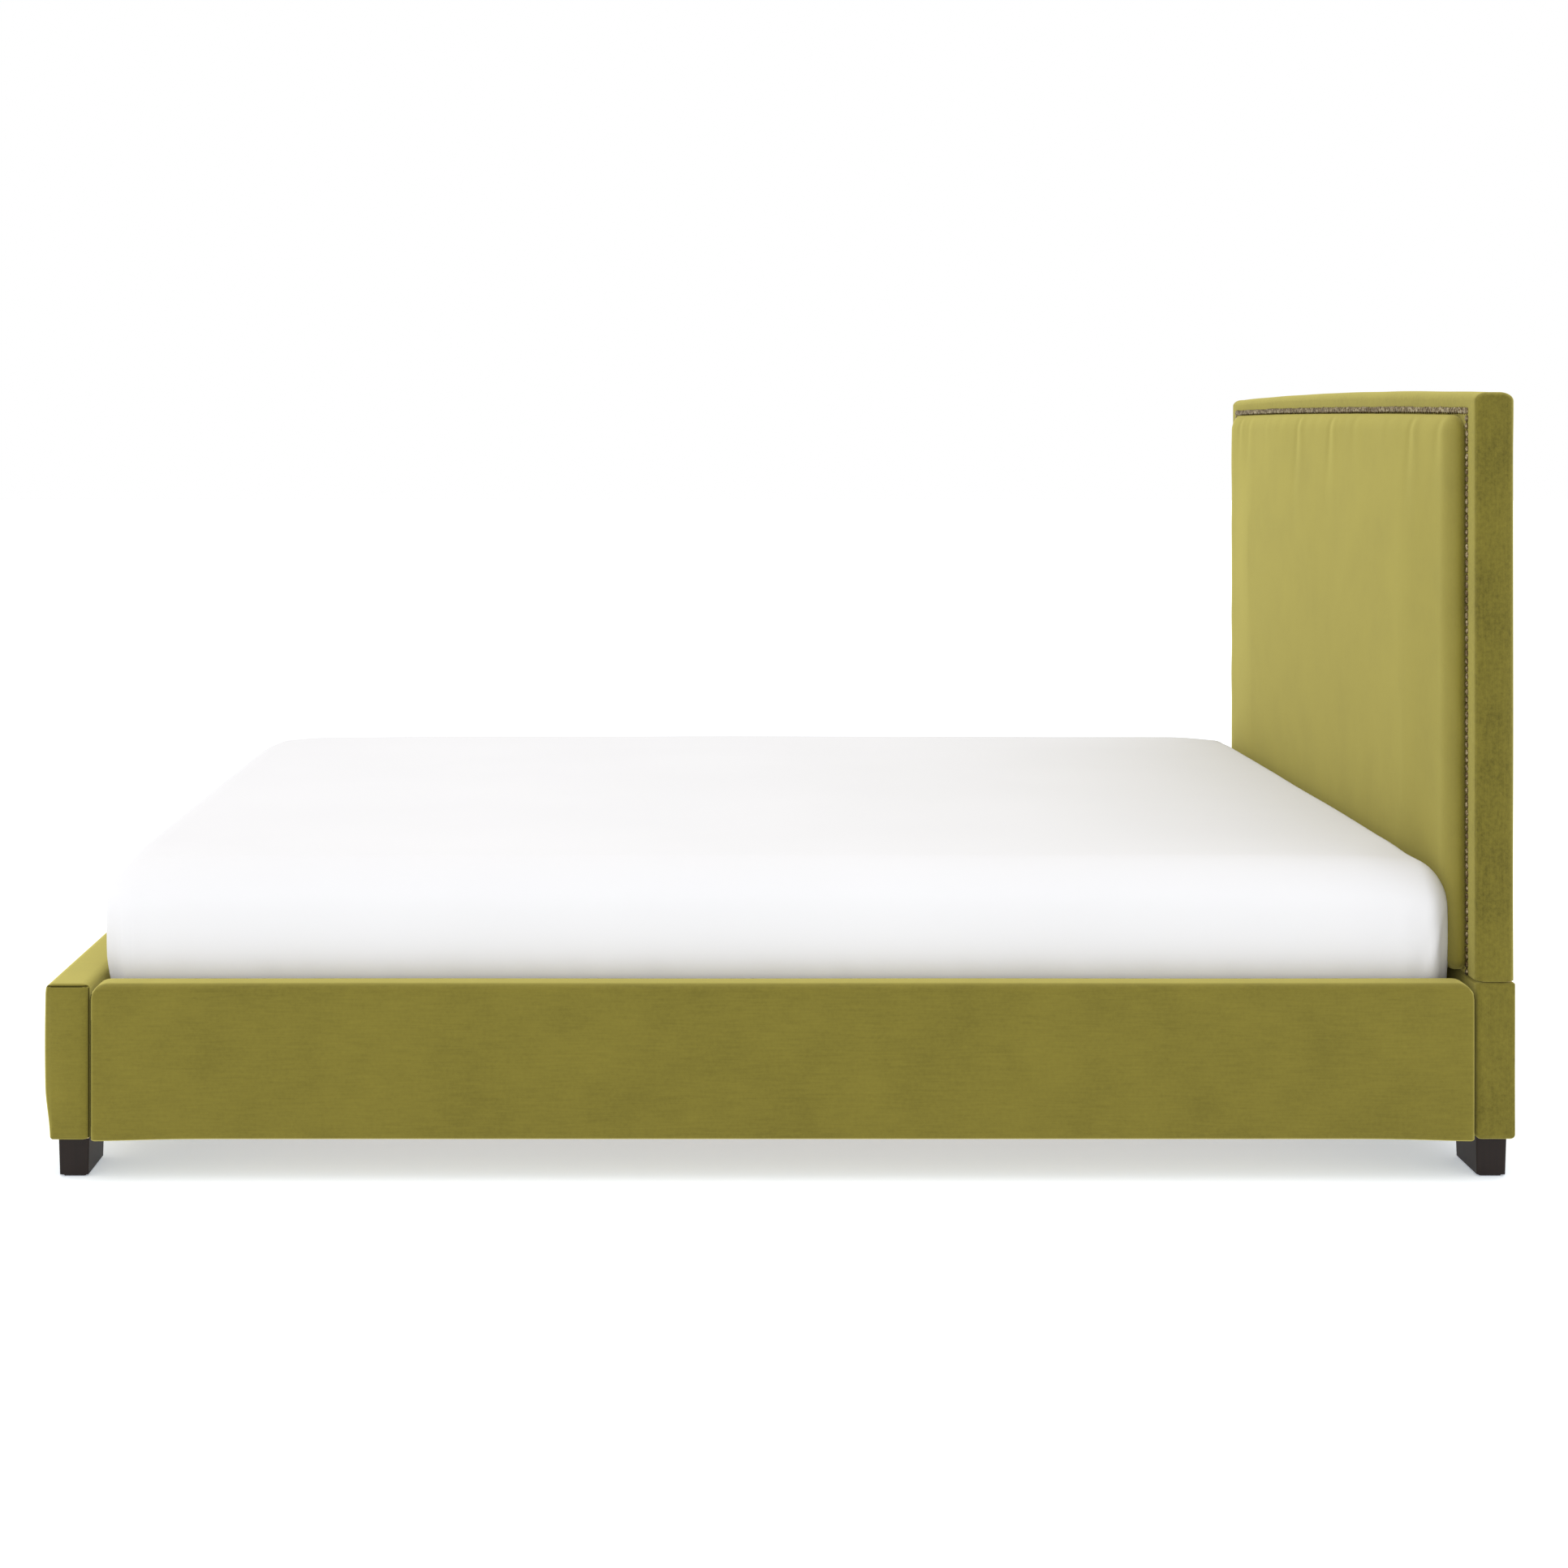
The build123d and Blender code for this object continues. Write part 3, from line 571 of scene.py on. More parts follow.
def velvet_panel():
    """Velvet of the centre panel, seldom touched and evenly brushed."""
    return shared(
        "cotton_velvet_panel",
        velvet_material,
        colours=bpy.context.scene.bed_colours,
        depth=1.0,
        crush=0.3,
        brush_axis=2,
        patchy=0.6,
        streaky=0.2,
        sheen=0.7,
    )


def velvet_crushed():
    """Velvet of the border, marked by handling."""
    return shared(
        "cotton_velvet_crushed",
        velvet_material,
        colours=bpy.context.scene.bed_colours,
        depth=0.84,
        crush=0.95,
        brush_axis=2,
        patchy=0.28,
        streaky=0.22,
        sheen=0.68,
    )


def velvet_painted_shade():
    """Dark velvet without sheen, for painted shade in seams and in creases where the velvet turns
    under.
    """
    return shared(
        "cotton_velvet_pressed",
        velvet_material,
        colours=bpy.context.scene.bed_colours,
        depth=0.45,
        crush=0.3,
        brush_axis=2,
        patchy=0.35,
        streaky=0.15,
        sheen=0.06,
    )


def paint_crease_shade(piece, chosen):
    """Gives the chosen faces of a velvet piece the dark velvet that paints shade into seams and
    creases.
    """
    piece.data.materials.append(velvet_painted_shade())
    piece.data.polygons.foreach_set("material_index", [int(flag) for flag in chosen])


def face_places(piece):
    """The middles and normals of a piece's faces, as arrays."""
    data = piece.data
    data.update()
    middles = np.array([face.center for face in data.polygons])
    normals = np.array([face.normal for face in data.polygons])
    return middles, normals


# ---- headboard ----
# soft folds below the top row of nails: place along X, length, strength and lean from upright
PUCKERS = (
    (-0.649, 0.07, 0.9, 0.10),
    (-0.568, 0.10, 0.5, 0.06),
    (-0.425, 0.05, 0.3, -0.05),
    (-0.170, 0.13, 1.1, 0.04),
    (0.062, 0.11, 1.2, 0.05),
    (0.213, 0.06, 0.35, -0.04),
    (0.370, 0.05, 0.2, 0.03),
    (0.548, 0.11, 1.1, 0.10),
    (0.690, 0.09, 0.8, 0.16),
)


class BED_OT_headboard_panel(bpy.types.Operator):
    """Raised centre panel: foam under velvet, gathered a little below the top row of nails"""

    bl_idname = "bed.headboard_panel"
    bl_label = "Headboard panel"

    def execute(self, context):
        sizes = context.scene.bed_sizes
        low, high = span("panel_cover")
        foam_low, foam_high = span("panel_foam")
        low.x = foam_low.x - VELVET_THICKNESS
        high.x = foam_high.x + VELVET_THICKNESS
        high.z = foam_high.z + VELVET_THICKNESS
        roll = sizes.panel_roll
        thick = high.y - low.y
        rim = thick - sizes.panel_fall - 2 * MM
        mesh, points = rounded_form(
            (low.x, low.y, low.z),
            (high.x, high.y, high.z),
            (roll, rim, 22 * MM),
            (roll, 3 * MM, 0.55 * roll),
            cell=7 * MM,
            roll_cells=8,
        )
        x, z = points[:, 0].copy(), points[:, 2].copy()
        top = high.z
        side = high.x
        points[:, 2] += ROW_CROWN * (1 - (x / side) ** 2) * ease(z, low.z, top)
        front = ease(-points[:, 1], -(high.y - 4 * MM), -(low.y + thick / 2))
        inside = ease(side - np.abs(x), 0, 0.26) * ease(top - z, 0, 0.22)
        points[:, 1] += sizes.panel_fall * (1 - inside) * ease(-points[:, 1], -high.y, -low.y)
        # each fold fans out from a nail, with a shallower ridge beside it
        drop = top - z
        for place, reach, strength, lean in PUCKERS:
            centre = place - lean * drop
            width = (10 + 90 * np.clip(drop, 0, 1)) * MM
            fade = np.exp(-((drop / reach) ** 2)) * ease(drop, 1 * MM, 14 * MM)
            fold = ridge(x, centre, width) - 0.75 * ridge(x, centre + 2.1 * width, 1.3 * width)
            points[:, 1] += strength * sizes.pucker_depth * fold * fade * front
        # between the folds the velvet gathers a little, and at the sides it is pulled taut
        gathers = ripple(points, 0.05, seed=11, stretch=(1, 1, 8)) * np.exp(-((drop / 0.04) ** 2))
        points[:, 1] += 0.25 * MM * gathers * front * ease(drop, 1 * MM, 8 * MM)
        edge = np.minimum(side - np.abs(x), 0.12)
        tension = ripple(points, 0.06, seed=12, stretch=(6, 1, 1)) * np.exp(-((edge / 0.05) ** 2))
        points[:, 1] += 0.6 * MM * tension * front
        points[:, 1] += 0.8 * MM * ripple(points, 0.42, seed=13) * front
        points[:, 1] = np.clip(points[:, 1], low.y, high.y)
        piece = finish_mesh(mesh, points, "headboard_panel", velvet_panel())
        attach(piece, FRAME_BODY)
        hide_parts("panel_cover", "panel_foam")
        return {"FINISHED"}


class BED_OT_headboard_border(bpy.types.Operator):
    """Padded border: wraps the front edge, the sides, the arched top and the rim of the back"""

    bl_idname = "bed.headboard_border"
    bl_label = "Headboard border"

    def execute(self, context):
        sizes = context.scene.bed_sizes
        low, high = span("border_cover")
        high.y += BACK_SWELL
        rolled, edge = sizes.border_round, 0.7 * sizes.border_round
        mesh, points = rounded_form(
            low,
            (high.x, high.y, high.z - BORDER_CROWN),
            (edge, rolled, 2.5 * MM),
            (edge, 1.1 * rolled, edge),
            cell=9 * MM,
            roll_cells=6,
        )
        x, z = points[:, 0].copy(), points[:, 2].copy()
        share = ease(z, high.z - 0.12, high.z - BORDER_CROWN)
        points[:, 2] += BORDER_CROWN * (1 - (x / high.x) ** 2) * share
        # hand-pulled cloth lies a little unevenly on the sides, the back and the top
        outer = ease(np.abs(x), high.x - 3 * MM, high.x - 0.5 * MM)
        uneven_side = 1.1 + 0.8 * ripple(points, 0.3, seed=21, stretch=(1, 1, 2))
        points[:, 0] -= np.sign(x) * outer * uneven_side * MM
        back = ease(points[:, 1], high.y - 4 * MM, high.y)
        uneven_back = 0.4 * (1 + ripple(points, 0.35, seed=22))
        points[:, 1] -= back * uneven_back * MM * ease(high.z - z, 0.03, 0.10)
        uneven_top = 0.6 * (1 + ripple(points, 0.25, seed=23))
        points[:, 2] -= uneven_top * MM * share * ease(high.x - np.abs(x), 0.0, 0.05)
        piece = finish_mesh(mesh, points, "headboard_border", velvet_crushed())
        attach(piece, FRAME_BODY)
        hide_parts("border_cover", "border_pad")
        return {"FINISHED"}


class BED_OT_headboard_lower(bpy.types.Operator):
    """Lower part of the headboard, a separate cover below the seam"""

    bl_idname = "bed.headboard_lower"
    bl_label = "Headboard lower cover"

    def execute(self, context):
        low, high = span("lower_cover")
        mesh, points = rounded_form(
            low,
            high,
            (9 * MM, 8 * MM, 8 * MM),
            (9 * MM, 9 * MM, 3 * MM),
            cell=9 * MM,
            roll_cells=4,
        )
        x, z = points[:, 0].copy(), points[:, 2].copy()
        outer = ease(np.abs(x), high.x - 3 * MM, high.x - 0.5 * MM)
        middle = ease(z, low.z, low.z + 0.05) * ease(high.z - z, 0, 0.03)
        points[:, 0] -= np.sign(x) * outer * (0.8 - 0.7 * middle) * MM
        points[:, 0] += np.sign(x) * outer * 0.7 * MM * (ripple(points, 0.09, seed=31) - 1)
        back = ease(points[:, 1], high.y - 4 * MM, high.y)
        points[:, 1] -= back * (0.6 + 0.6 * ripple(points, 0.3, seed=32)) * MM
        piece = finish_mesh(mesh, points, "headboard_lower", velvet_crushed())
        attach(piece, FRAME_BODY)
        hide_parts("lower_cover", "lower_pad")
        return {"FINISHED"}


class BED_OT_back_cloth(bpy.types.Operator):
    """Flat velvet panel slip-stitched over the back of the headboard"""

    bl_idname = "bed.back_cloth"
    bl_label = "Back cloth"

    def execute(self, context):
        low, high = span("back_cover")
        high.y += BACK_SWELL
        proud = 0.8 * MM
        mesh, points = rounded_form(
            (low.x, low.y - 1 * MM, low.z + 2 * MM),
            (high.x, high.y + proud, high.z),
            (2 * MM, 1 * MM, 2 * MM),
            (2 * MM, 1.2 * MM, 2 * MM),
            cell=14 * MM,
            roll_cells=3,
        )
        points[:, 1] += 0.35 * MM * ripple(points, 0.3, seed=41) * (points[:, 1] > high.y)
        piece = finish_mesh(mesh, points, "back_cloth", velvet_smooth())
        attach(piece, FRAME_BODY)
        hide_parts("back_cover")
        return {"FINISHED"}


class BED_OT_nail_trim(bpy.types.Operator):
    """Dome nails along the top and both sides of the panel"""

    bl_idname = "bed.nail_trim"
    bl_label = "Nail trim"

    def execute(self, context):
        sizes = context.scene.bed_sizes
        head = self.dome(sizes.nail_radius, sizes.nail_height)
        mesh = bmesh.new()
        chance = np.random.default_rng(51)
        for place in self.seats():
            hammered_off = Vector(chance.uniform(-0.25, 0.25, 3)) * MM
            there = Matrix.Translation(place + hammered_off)
            head.transform(there)
            mesh.from_mesh(head)
            head.transform(there.inverted())
        bpy.data.meshes.remove(head)
        tone = context.scene.bed_colours.nail
        brass = shared("antiqued_brass_nail", nail_material, tone=tone)
        piece = finish_mesh(mesh, None, "nail_trim", brass)
        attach(piece, FRAME_BODY)
        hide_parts("nailheads")
        return {"FINISHED"}

    @staticmethod
    def dome(radius, height):
        """One nail head: the front of a flattened ball, closed underneath."""
        mesh = bmesh.new()
        bmesh.ops.create_uvsphere(mesh, u_segments=12, v_segments=8, radius=radius)
        bmesh.ops.rotate(mesh, verts=mesh.verts, matrix=Matrix.Rotation(math.radians(90), 3, "X"))
        under = [vert for vert in mesh.verts if vert.co.y > 0.1 * radius]
        bmesh.ops.delete(mesh, geom=under, context="VERTS")
        bmesh.ops.scale(mesh, verts=mesh.verts, vec=(1.0, height / radius, 1.0))
        bmesh.ops.holes_fill(mesh, edges=[edge for edge in mesh.edges if edge.is_boundary])
        data = bpy.data.meshes.new("nail_head")
        mesh.to_mesh(data)
        mesh.free()
        return data

    @staticmethod
    def seats():
        """The middle of each nail's seat, found from the points at the tips of the heads."""
        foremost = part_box("nailheads")[0].y + 0.05 * MM
        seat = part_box("border_cover")[0].y
        same = 4 * MM
        seats = {}
        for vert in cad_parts["nailheads"].data.vertices:
            if vert.co.y < foremost:
                key = (round(vert.co.x / same), round(vert.co.z / same))
                seats[key] = Vector((vert.co.x, seat, vert.co.z))
        return list(seats.values())


# ---- side rails and footboard ----
class BED_OT_side_rails(bpy.types.Operator):
    """Side rails: velvet pulled over a pad, rounded along the top and at both ends"""

    bl_idname = "bed.side_rails"
    bl_label = "Side rails"

    def execute(self, context):
        sizes = context.scene.bed_sizes
        for number, side in enumerate(("left", "right")):
            low, high = span(f"rail_cover_{side}")
            low.y, high.y = low.y - 0.2 * MM, high.y + 0.2 * MM
            outside = 1 if side == "right" else -1
            rolls = (9 * MM, sizes.rail_round)[::outside]
            bottom = low.z - COVER_HANG
            mesh, points = rounded_form(
                (low.x, low.y, bottom),
                high,
                (rolls[0], 8 * MM, 5 * MM),
                (rolls[1], 8 * MM, 14 * MM),
                cell=8 * MM,
                roll_cells=6,
            )
            round_top_corners(points, low.y, high.y, high.z, sizes.rail_corner)
            y, z = points[:, 1].copy(), points[:, 2].copy()
            face = high.x if outside > 0 else low.x
            outer = ease(outside * points[:, 0], outside * face - 6 * MM, outside * face)
            up = (z - bottom) / (high.z - bottom)
            belly = 1 - (2 * up - 1) ** 4
            sway = ripple(points, 0.5, seed=61 + number, stretch=(1, 1.5, 1))
            points[:, 0] += outside * outer * (1.4 * belly + 0.5 * sway) * MM
            top = ease(z, high.z - 8 * MM, high.z)
            points[:, 2] -= top * (0.5 + 0.6 * ripple(points, 0.4, seed=63 + number)) * MM
            # near its ends the cover hangs lower and creases where it is folded under
            end = np.minimum(high.y - y, y - low.y)
            hang = np.exp(-((end / 0.09) ** 2)) * ease(bottom + 0.03 - z, 0, 0.03)
            points[:, 2] -= 3.2 * MM * hang
            folded = np.exp(-((end / 0.11) ** 2)) * ease(bottom + 0.07 - z, 0, 0.07)
            creases = ripple(points, 0.035, seed=65 + number, stretch=(1, 3, 1))
            points[:, 0] += outside * outer * 1.3 * MM * folded * creases
            piece = finish_mesh(mesh, points, f"side_rail_{side}", velvet_smooth())
            # the faces where the rail's ends turn in get painted shade: dark velvet without sheen
            # stands in for the shade of the crease
            middles, normals = face_places(piece)
            rail_end_shade = (np.abs(normals[:, 1]) > 0.86) & (middles[:, 2] < high.z - 4 * MM)
            paint_crease_shade(piece, rail_end_shade)
            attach(piece, FRAME_BODY)
            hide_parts(f"rail_cover_{side}", f"rail_pad_{side}")
        return {"FINISHED"}


class BED_OT_footboard(bpy.types.Operator):
    """Footboard: velvet over a pad, with a boxed end panel seamed across its top"""

    bl_idname = "bed.footboard"
    bl_label = "Footboard"

    def execute(self, context):
        low, high = span("footboard_cover")
        bottom = low.z - COVER_HANG
        mesh, points = rounded_form(
            (low.x, low.y, bottom),
            high,
            (10 * MM, 11 * MM, 4 * MM),
            (10 * MM, 14 * MM, 8 * MM),
            cell=7 * MM,
            roll_cells=9,
        )
        x, y, z = (points[:, axis].copy() for axis in range(3))
        up = (z - bottom) / (high.z - bottom)
        # the outer face is drawn in at the bottom and the top, and full in between
        outer = ease(-y, -(low.y + 14 * MM), -low.y)
        taper = 6.0 * MM * (1 - ease(up, 0.0, 0.35)) + 1.2 * MM * ease(up, 0.93, 1.0)
        taper -= 2.2 * MM * ridge(up, 0.6, 0.45)
        points[:, 1] += outer * (taper + 0.5 * MM * ripple(points, 0.45, seed=71))
        # each end is a boxed panel: full in its middle, pleated beside the rail, seamed on top
        end = np.sign(x) * ease(np.abs(x), high.x - 3 * MM, high.x)
        across = (y - low.y) / (high.y - low.y)
        belly = np.sin(np.pi * np.clip(across, 0, 1)) * (1 - (2 * up - 1) ** 6)
        points[:, 0] += end * (4.0 * belly - 2.0) * MM
        pleated = ease(across, 0.72, 0.92) * (1 - ease(across, 0.96, 1.0))
        pleated *= ease(up, 0.45, 0.75) * (1 - ease(up, 0.9, 1.0))
        pleat_apart, pleat_slant = 0.052, 0.03
        pleats = np.sin(2 * math.pi * (z - pleat_slant * across) / pleat_apart)
        points[:, 0] += end * 0.9 * MM * pleats * pleated
        seam = ridge(z, high.z - 4.0 * MM, 1.5 * MM)
        seam *= ease(np.abs(x), high.x - 9 * MM, high.x - 5 * MM)
        points[:, 0] -= np.sign(x) * 3.4 * MM * seam
        top = ease(z, high.z - 6 * MM, high.z)
        points[:, 2] -= top * (0.5 + 0.5 * ripple(points, 0.3, seed=73)) * MM
        piece = finish_mesh(mesh, points, "footboard", velvet_smooth())
        # painted shade: a dark line of velvet without sheen along the seam at the top of each end,
        # and on the end's faces in the crease beside the rail
        middles, normals = face_places(piece)
        at_end = np.abs(middles[:, 0]) > high.x - 8 * MM
        stitched = at_end & (np.abs(middles[:, 2] - (high.z - 4.2 * MM)) < 1.1 * MM)
        crease = at_end & (normals[:, 1] > 0.8) & (middles[:, 2] < high.z - 5 * MM)
        paint_crease_shade(piece, stitched | crease)
        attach(piece, FRAME_BODY)
        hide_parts("footboard_cover", "footboard_pad")
        return {"FINISHED"}


# ---- mattress ----
def mattress_shape(inset, sizes, cell, roll_cells):
    """The mattress form, `inset` inside the fitted sheet: crowned, full-sided, with a tucked hem.

    Returns the bmesh, its points, and for each point its place across, along and up the form as
    shares, and how much it belongs to a side and to an end."""
    low, high = span("fitted_sheet")
    plan = sizes.mattress_corner - inset
    rolled = sizes.mattress_round - inset
    high.y += 20 * MM
    inward = Vector((inset, inset, inset))
    low, high = low + inward, high - inward
    mesh, points = rounded_form(
        low, high, (plan, plan, 16 * MM), (plan, 0.8 * plan, rolled), cell, roll_cells
    )
    middle = (low + high) / 2
    u = (points[:, 0] - middle.x) / (high.x - middle.x)
    v = (points[:, 1] - middle.y) / (high.y - middle.y)
    up = (points[:, 2] - low.z) / (high.z - low.z)
    crown = sizes.mattress_crown * (1 - 0.5 * (np.abs(u) ** 3 + np.abs(v) ** 4))
    points[:, 2] += (crown - sizes.mattress_crown) * ease(up, 0.5, 0.95)
    droop = 10 * MM * ease(np.abs(u), 0.72, 1.0) * ease(np.abs(v), 0.86, 1.0)
    points[:, 2] -= droop * ease(up, 0.35, 0.95)
    # the corners fill the hollow beside the headboard's panel, whose middle stands further forward
    from_side = 1 - np.abs(u)
    beside = 12 * MM * ease(from_side, 0.05, 0.16) + 7.6 * MM * ease(from_side, 0.02, 0.34)
    points[:, 1] -= beside * ease(v, 0.9, 1.0)
    # the walls draw in towards the hem, most at the foot, and are fullest above their middle
    hem = 1 - ease(up, 0.18, 0.42)
    side = ease(np.abs(u), 0.90, 1.0)
    end = ease(np.abs(v), 0.93, 1.0)
    slack = 1.5 * np.clip(((up - 0.62) / 0.38) ** 2, 0, 1.2)
    points[:, 0] -= np.sign(u) * side * (2.5 * hem + slack) * MM
    points[:, 1] -= np.sign(v) * end * (np.where(v > 0, 1, 6) * hem + slack) * MM
    return mesh, points, (u, v, up, side, end)


class BED_OT_mattress(bpy.types.Operator):
    """The mattress itself, under its sheet"""

    bl_idname = "bed.mattress"
    bl_label = "Mattress"

    def execute(self, context):
        mesh, points, _ = mattress_shape(
            4.4 * MM, context.scene.bed_sizes, cell=26 * MM, roll_cells=6
        )
        tone = context.scene.bed_colours.knit
        knit = shared(
            "polyester_knit_ticking", cloth_material, tone=tone, thread=0.0018, shade=0.06
        )
        piece = finish_mesh(mesh, points, "mattress", knit)
        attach(piece, MATTRESS_BODY)
        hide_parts("mattress_core", "comfort_layer", "mattress_cover", "mattress_base_cloth")
        return {"FINISHED"}


class BED_OT_fitted_sheet(bpy.types.Operator):
    """Fitted sheet: stretched over the mattress and tucked under it, with soft pulls at corners"""

    bl_idname = "bed.fitted_sheet"
    bl_label = "Fitted sheet"

    def execute(self, context):
        mesh, points, (u, v, up, side, end) = mattress_shape(
            0, context.scene.bed_sizes, cell=12 * MM, roll_cells=7
        )
        low, high = span("fitted_sheet")
        outward = np.stack([np.sign(u) * side, np.sign(v) * end, np.zeros_like(u)], axis=1)
        # soft folds fan out round each corner from a middle 62 mm and 56 mm inside it
        half_width, half_length = 0.762, 1.016
        fan_x, fan_y = half_width - 0.062, half_length - 0.056
        around = np.arctan2(np.abs(v) * half_length - fan_y, np.abs(u) * half_width - fan_x)
        corner = ease(np.abs(u) * high.x, high.x - 0.16, high.x - 0.02)
        corner *= ease(np.abs(v), 0.84, 0.98)
        folds = np.sin(9 * around + 2 * u + 3 * v) * corner * ease(0.95 - up, 0, 0.5)
        points += outward * (1.5 * MM * folds)[:, None]
        # short pulls that run from the tuck up to the corners at the head
        from_head = (1 - v) * (high.y - low.y) / 2
        for lean, start, height in ((0.30, 0.012, 3.0), (0.42, 0.034, 2.2), (0.55, 0.060, 1.4)):
            line = start + lean * 0.25 * (0.75 - up)
            pull = ridge(from_head, line, 4.5 * MM) * ridge(up, 0.48, 0.2)
            points[:, 0] += np.sign(u) * ease(np.abs(u), 0.8, 0.95) * height * MM * pull
        wave = ripple(points, 0.30, seed=81, stretch=(1, 1, 3))
        points += outward * (0.5 * MM * wave - 0.5 * MM)[:, None]
        # the elastic in the tuck gathers the cloth just above it
        hem = ridge(up, 0.30, 0.09)
        gathers = ripple(points, 0.028, seed=82, stretch=(1, 1, 6))
        points += outward * (0.8 * MM * gathers * hem)[:, None]
        top = ease(up, 0.8, 1.0)
        points[:, 2] += top * (0.9 * MM * ripple(points, 0.5, seed=83) - 0.9 * MM)
        # the cloth ends a tuck's width under the mattress, so the rest of its underside is cut out
        tuck = 0.11
        under = [face for face in mesh.faces if all(vert.co.z < -1 + 1e-6 for vert in face.verts)]
        for vert, point in zip(mesh.verts, points):
            vert.co = point
        opening = [
            face
            for face in under
            if all(
                abs(vert.co.x) < high.x - tuck and low.y + tuck < vert.co.y < high.y - tuck
                for vert in face.verts
            )
        ]
        bmesh.ops.delete(mesh, geom=opening, context="FACES")
        tone = context.scene.bed_colours.cotton
        cotton = shared(
            "white_percale_cotton", cloth_material, tone=tone, thread=0.0014, shade=0.02
        )
        piece = finish_mesh(mesh, None, "fitted_sheet_cloth", cotton)
        wall = piece.modifiers.new("thickness", "SOLIDIFY")
        wall.thickness = 0.8 * MM
        wall.offset = -1
        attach(piece, MATTRESS_BODY)
        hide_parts("fitted_sheet")
        return {"FINISHED"}


# ---- finishes of the frame pieces that stay as they are ----
GRAIN_X = (
    "headboard_top_rail",
    "headboard_mid_rail",
    "headboard_bottom_rail",
    "footboard_top_rail",
    "footboard_bottom_rail",
    "slats",
)
GRAIN_Y = (
    "rail_core_left",
    "rail_core_right",
    "slat_cleat_left",
    "slat_cleat_right",
    "centre_beam",
)
GRAIN_Z = (
    "headboard_stile_left",
    "headboard_stile_right",
    "footboard_post_left",
    "footboard_post_right",
    "footboard_centre_post",
    "centre_leg_1",
    "centre_leg_2",
    "centre_leg_3",
)


class BED_OT_frame_finishes(bpy.types.Operator):
    """Timber, steel, plastic, felt and webbing of the frame pieces"""

    bl_idname = "bed.frame_finishes"
    bl_label = "Frame finishes"

    def execute(self, context):
        finishes = self.pine_finishes(context.scene.bed_colours.pine)
        plywood = shared(
            "birch_plywood",
            wood_material,
            tone=from_hex("#D2B183"),
            grain_axis=0,
            contrast=0.25,
            roughness=0.7,
            gloss=0.5,
        )
        espresso = shared(
            "espresso_stained_beech",
            wood_material,
            tone=context.scene.bed_colours.espresso,
            grain_axis=2,
            contrast=0.35,
            roughness=0.5,
            gloss=0.25,
        )
        black = self.coated("black_powder_coated_steel", "#1C1C1E", 0.8, 0.0, 0.45, 0.08, 0.2)
        zinc = self.coated("zinc_plated_steel", "#B9BCC0", 1.5, 1.0, 0.35, 0.08, 0.1)
        nylon = self.coated("moulded_nylon", "#262626", 1.0, 0.0, 0.5, 0.05, 0.1)
        felt = self.coated("pressed_felt", "#4A4643", 1.2, 0.0, 0.95, 0.25, 0.5)
        webbing = shared(
            "polypropylene_webbing",
            cloth_material,
            tone=from_hex("#3A3A3C"),
            thread=0.0022,
            shade=0.2,
        )
        for name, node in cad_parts.items():
            if node.hide_render:
                continue
            if name.endswith("_board"):
                finishes[name] = plywood
            elif name.startswith("leg_glides"):
                finishes[name] = felt
            elif name.startswith(("leg_studs", "centre_leg_studs", "corner_bolts", "frame_screws")):
                finishes[name] = zinc
            elif name.startswith("leg_"):
                finishes[name] = espresso
            elif name.startswith(("corner_bracket", "beam_hanger")):
                finishes[name] = black
            elif name.startswith("levelling_foot"):
                finishes[name] = nylon
            elif name == "slat_straps":
                finishes[name] = webbing
            if name not in finishes:
                raise RuntimeError(f"no finish is set for {name}")
            for slot in node.material_slots:
                slot.material = finishes[name]
        return {"FINISHED"}

    @staticmethod
    def pine_finishes(tone):
        """Pine for each timber node, with its grain along the timber."""
        finishes = {}
        for axis, nodes in enumerate((GRAIN_X, GRAIN_Y, GRAIN_Z)):
            pine = shared(
                f"planed_pine_{'xyz'[axis]}",
                wood_material,
                tone=tone,
                grain_axis=axis,
                contrast=0.35,
                roughness=0.6,
                gloss=0.5,
            )
            finishes.update({node: pine for node in nodes})
        return finishes

    @staticmethod
    def coated(name, tone, size, metallic, roughness, spread, depth):
        """A coated finish, its tone an sRGB hex value and its size and depth in millimetres."""
        return shared(
            name,
            coated_material,
            tone=from_hex(tone),
            size=size * MM,
            metallic=metallic,
            roughness=roughness,
            spread=spread,
            depth=depth * MM,
        )


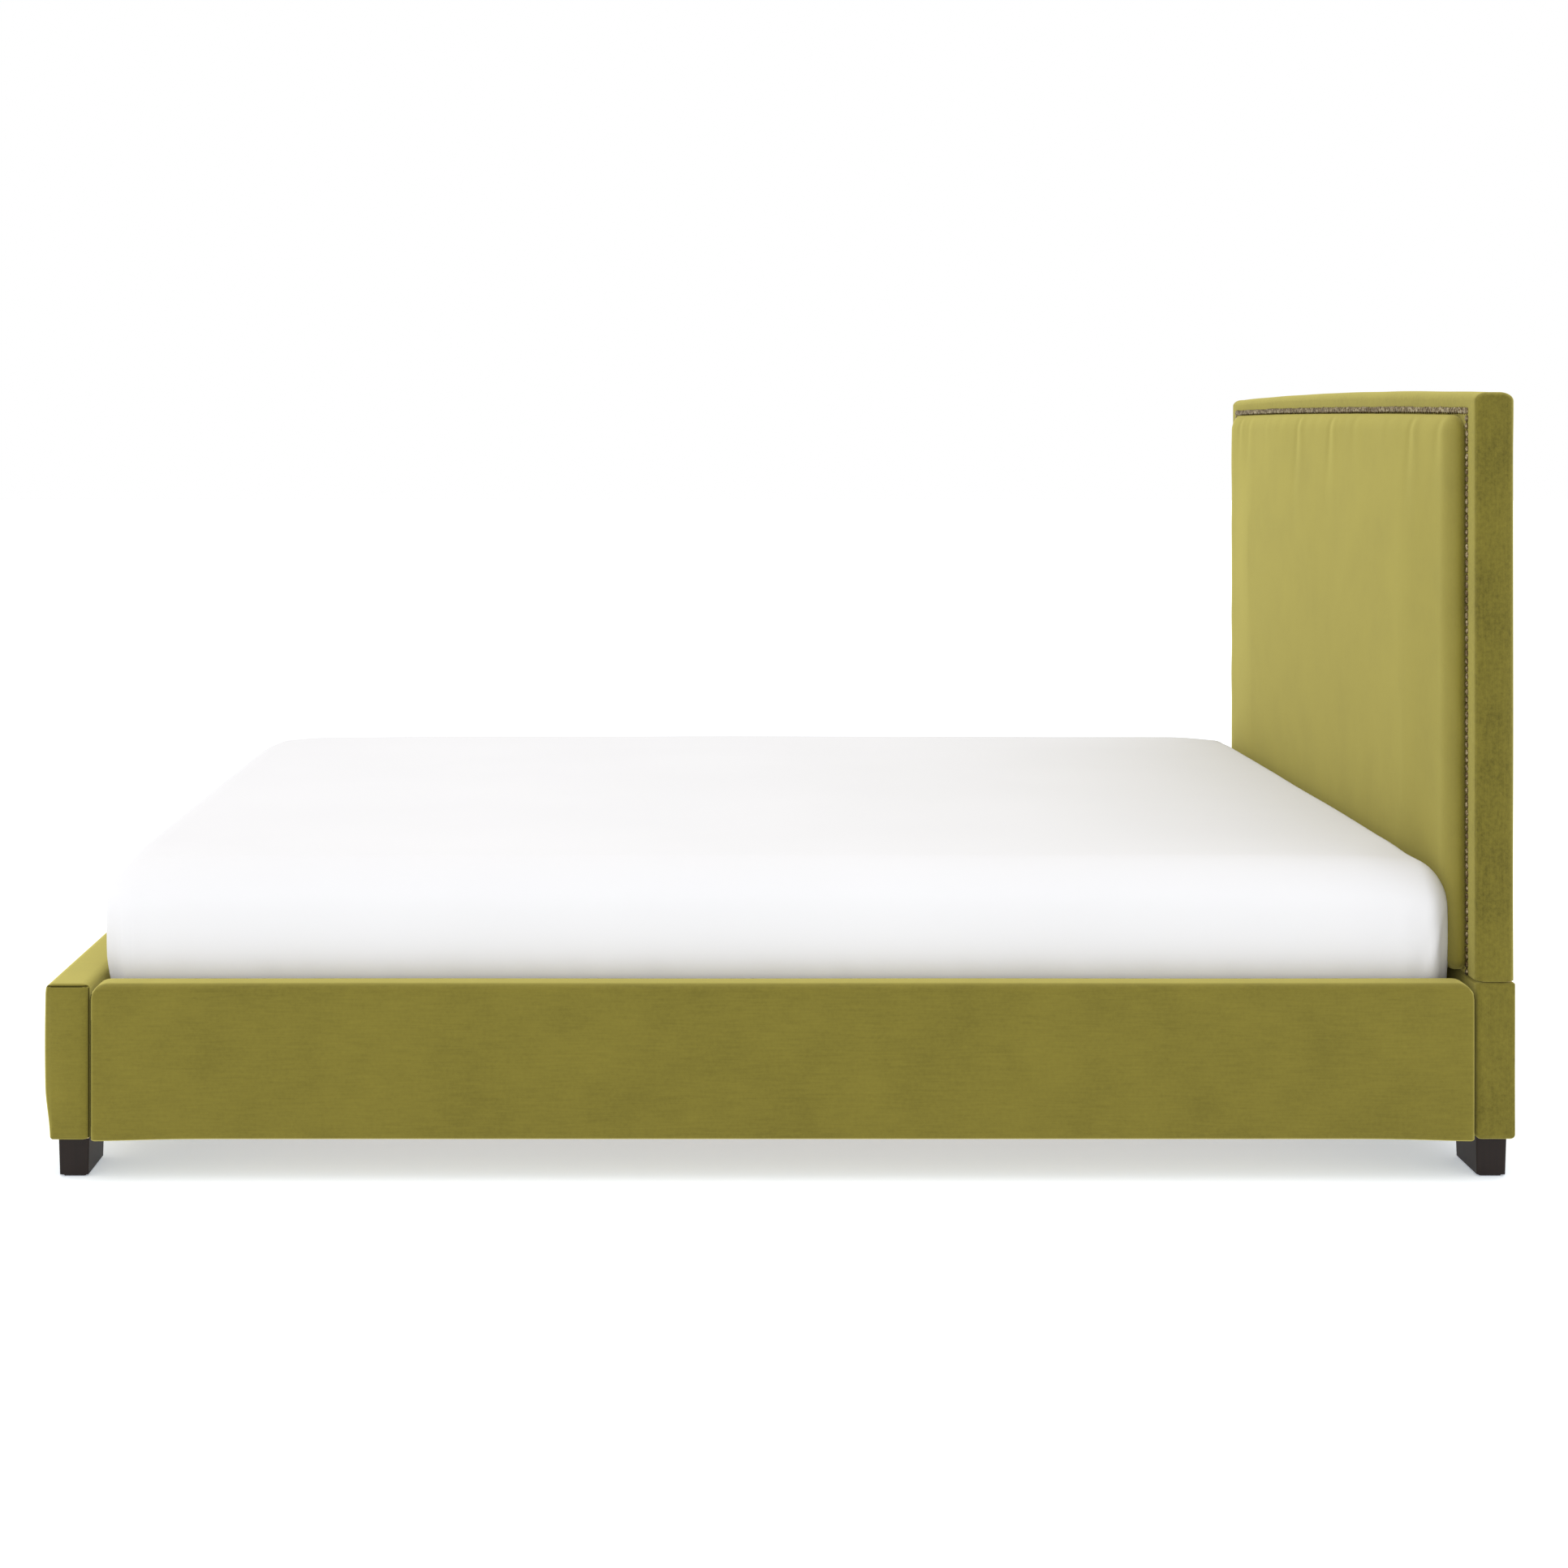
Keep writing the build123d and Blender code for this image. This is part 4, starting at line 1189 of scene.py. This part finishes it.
# ---- stage ----
class BED_OT_stage(bpy.types.Operator):
    """Pale floor, soft light all round and the camera"""

    bl_idname = "bed.stage"
    bl_label = "Stage"

    def execute(self, context):
        scene = context.scene
        scene.view_settings.view_transform = "Standard"
        mesh = bmesh.new()
        bmesh.ops.create_grid(mesh, x_segments=1, y_segments=1, size=30)
        material, tree, _, surface = new_material("matt_white_floor")
        shader = add_node(
            tree,
            "ShaderNodeBsdfPrincipled",
            inputs={
                "Base Color": rgba(from_hex("#F7F7F7")),
                "Roughness": 0.9,
                "Specular IOR Level": 0.1,
                "Emission Color": rgba(from_hex("#E9F4FF")),
                "Emission Strength": 0.42,
            },
        )
        tree.links.new(shader.outputs["BSDF"], surface)
        floor = finish_mesh(mesh, None, "floor", material, smooth=False)

        world = bpy.data.worlds.new("studio")
        world.use_nodes = True
        background = world.node_tree.nodes["Background"]
        background.inputs["Color"].default_value = (1, 1, 1, 1)
        background.inputs["Strength"].default_value = 1.0
        scene.world = world

        self.softbox("overhead", (0.4, 0.2, 3.6), (0, 0, 0), size=4.0, power=34)
        self.softbox("foot", (0.6, -5.0, 2.4), (0, 0.8, 0.6), size=3.0, power=30)
        self.softbox("front", (6.0, 0.0, 1.4), (0, 0, 0.4), size=3.0, power=17)

        camera = bpy.data.cameras.new("camera")
        camera.lens = 57.0
        camera.sensor_width = 36.0
        camera.shift_x = 0.0688
        camera.shift_y = -0.2329
        viewer = bpy.data.objects.new("camera", camera)
        viewer.location = (4.507, -0.156, 1.135)
        viewer.rotation_euler = (math.radians(90), 0, math.radians(90))
        scene.collection.objects.link(viewer)
        scene.camera = viewer
        return {"FINISHED"}

    @staticmethod
    def softbox(name, place, target, size, power):
        """A square area light aimed at the target, its size in metres and its power in watts."""
        light = bpy.data.lights.new(name, "AREA")
        light.size = size
        light.energy = power
        lamp = bpy.data.objects.new(name, light)
        lamp.location = place
        lamp.rotation_euler = (Vector(place) - Vector(target)).to_track_quat("Z", "Y").to_euler()
        bpy.context.scene.collection.objects.link(lamp)


STEPS = (
    BED_OT_headboard_panel,
    BED_OT_headboard_border,
    BED_OT_headboard_lower,
    BED_OT_back_cloth,
    BED_OT_nail_trim,
    BED_OT_side_rails,
    BED_OT_footboard,
    BED_OT_mattress,
    BED_OT_fitted_sheet,
    BED_OT_frame_finishes,
    BED_OT_stage,
)


class BED_PT_panel(bpy.types.Panel):
    """Lists the steps that build the bed, with its sizes and colours"""

    bl_idname = "BED_PT_panel"
    bl_label = "Upholstered bed"
    bl_space_type = "VIEW_3D"
    bl_region_type = "UI"
    bl_category = "Bed"

    def draw(self, context):
        layout = self.layout
        for group in (context.scene.bed_sizes, context.scene.bed_colours):
            for name in group.__annotations__:
                layout.prop(group, name)
        for step in STEPS:
            layout.operator(step.bl_idname)


CLASSES = (BedSizes, BedColours, *STEPS, BED_PT_panel)


def register():
    for item in CLASSES:
        bpy.utils.register_class(item)
    bpy.types.Scene.bed_sizes = bpy.props.PointerProperty(type=BedSizes)
    bpy.types.Scene.bed_colours = bpy.props.PointerProperty(type=BedColours)


def unregister():
    del bpy.types.Scene.bed_sizes
    del bpy.types.Scene.bed_colours
    for item in reversed(CLASSES):
        bpy.utils.unregister_class(item)


def main():
    register()
    for step in STEPS:
        group, name = step.bl_idname.split(".")
        getattr(getattr(bpy.ops, group), name)()


if __name__ == "__main__":
    main()
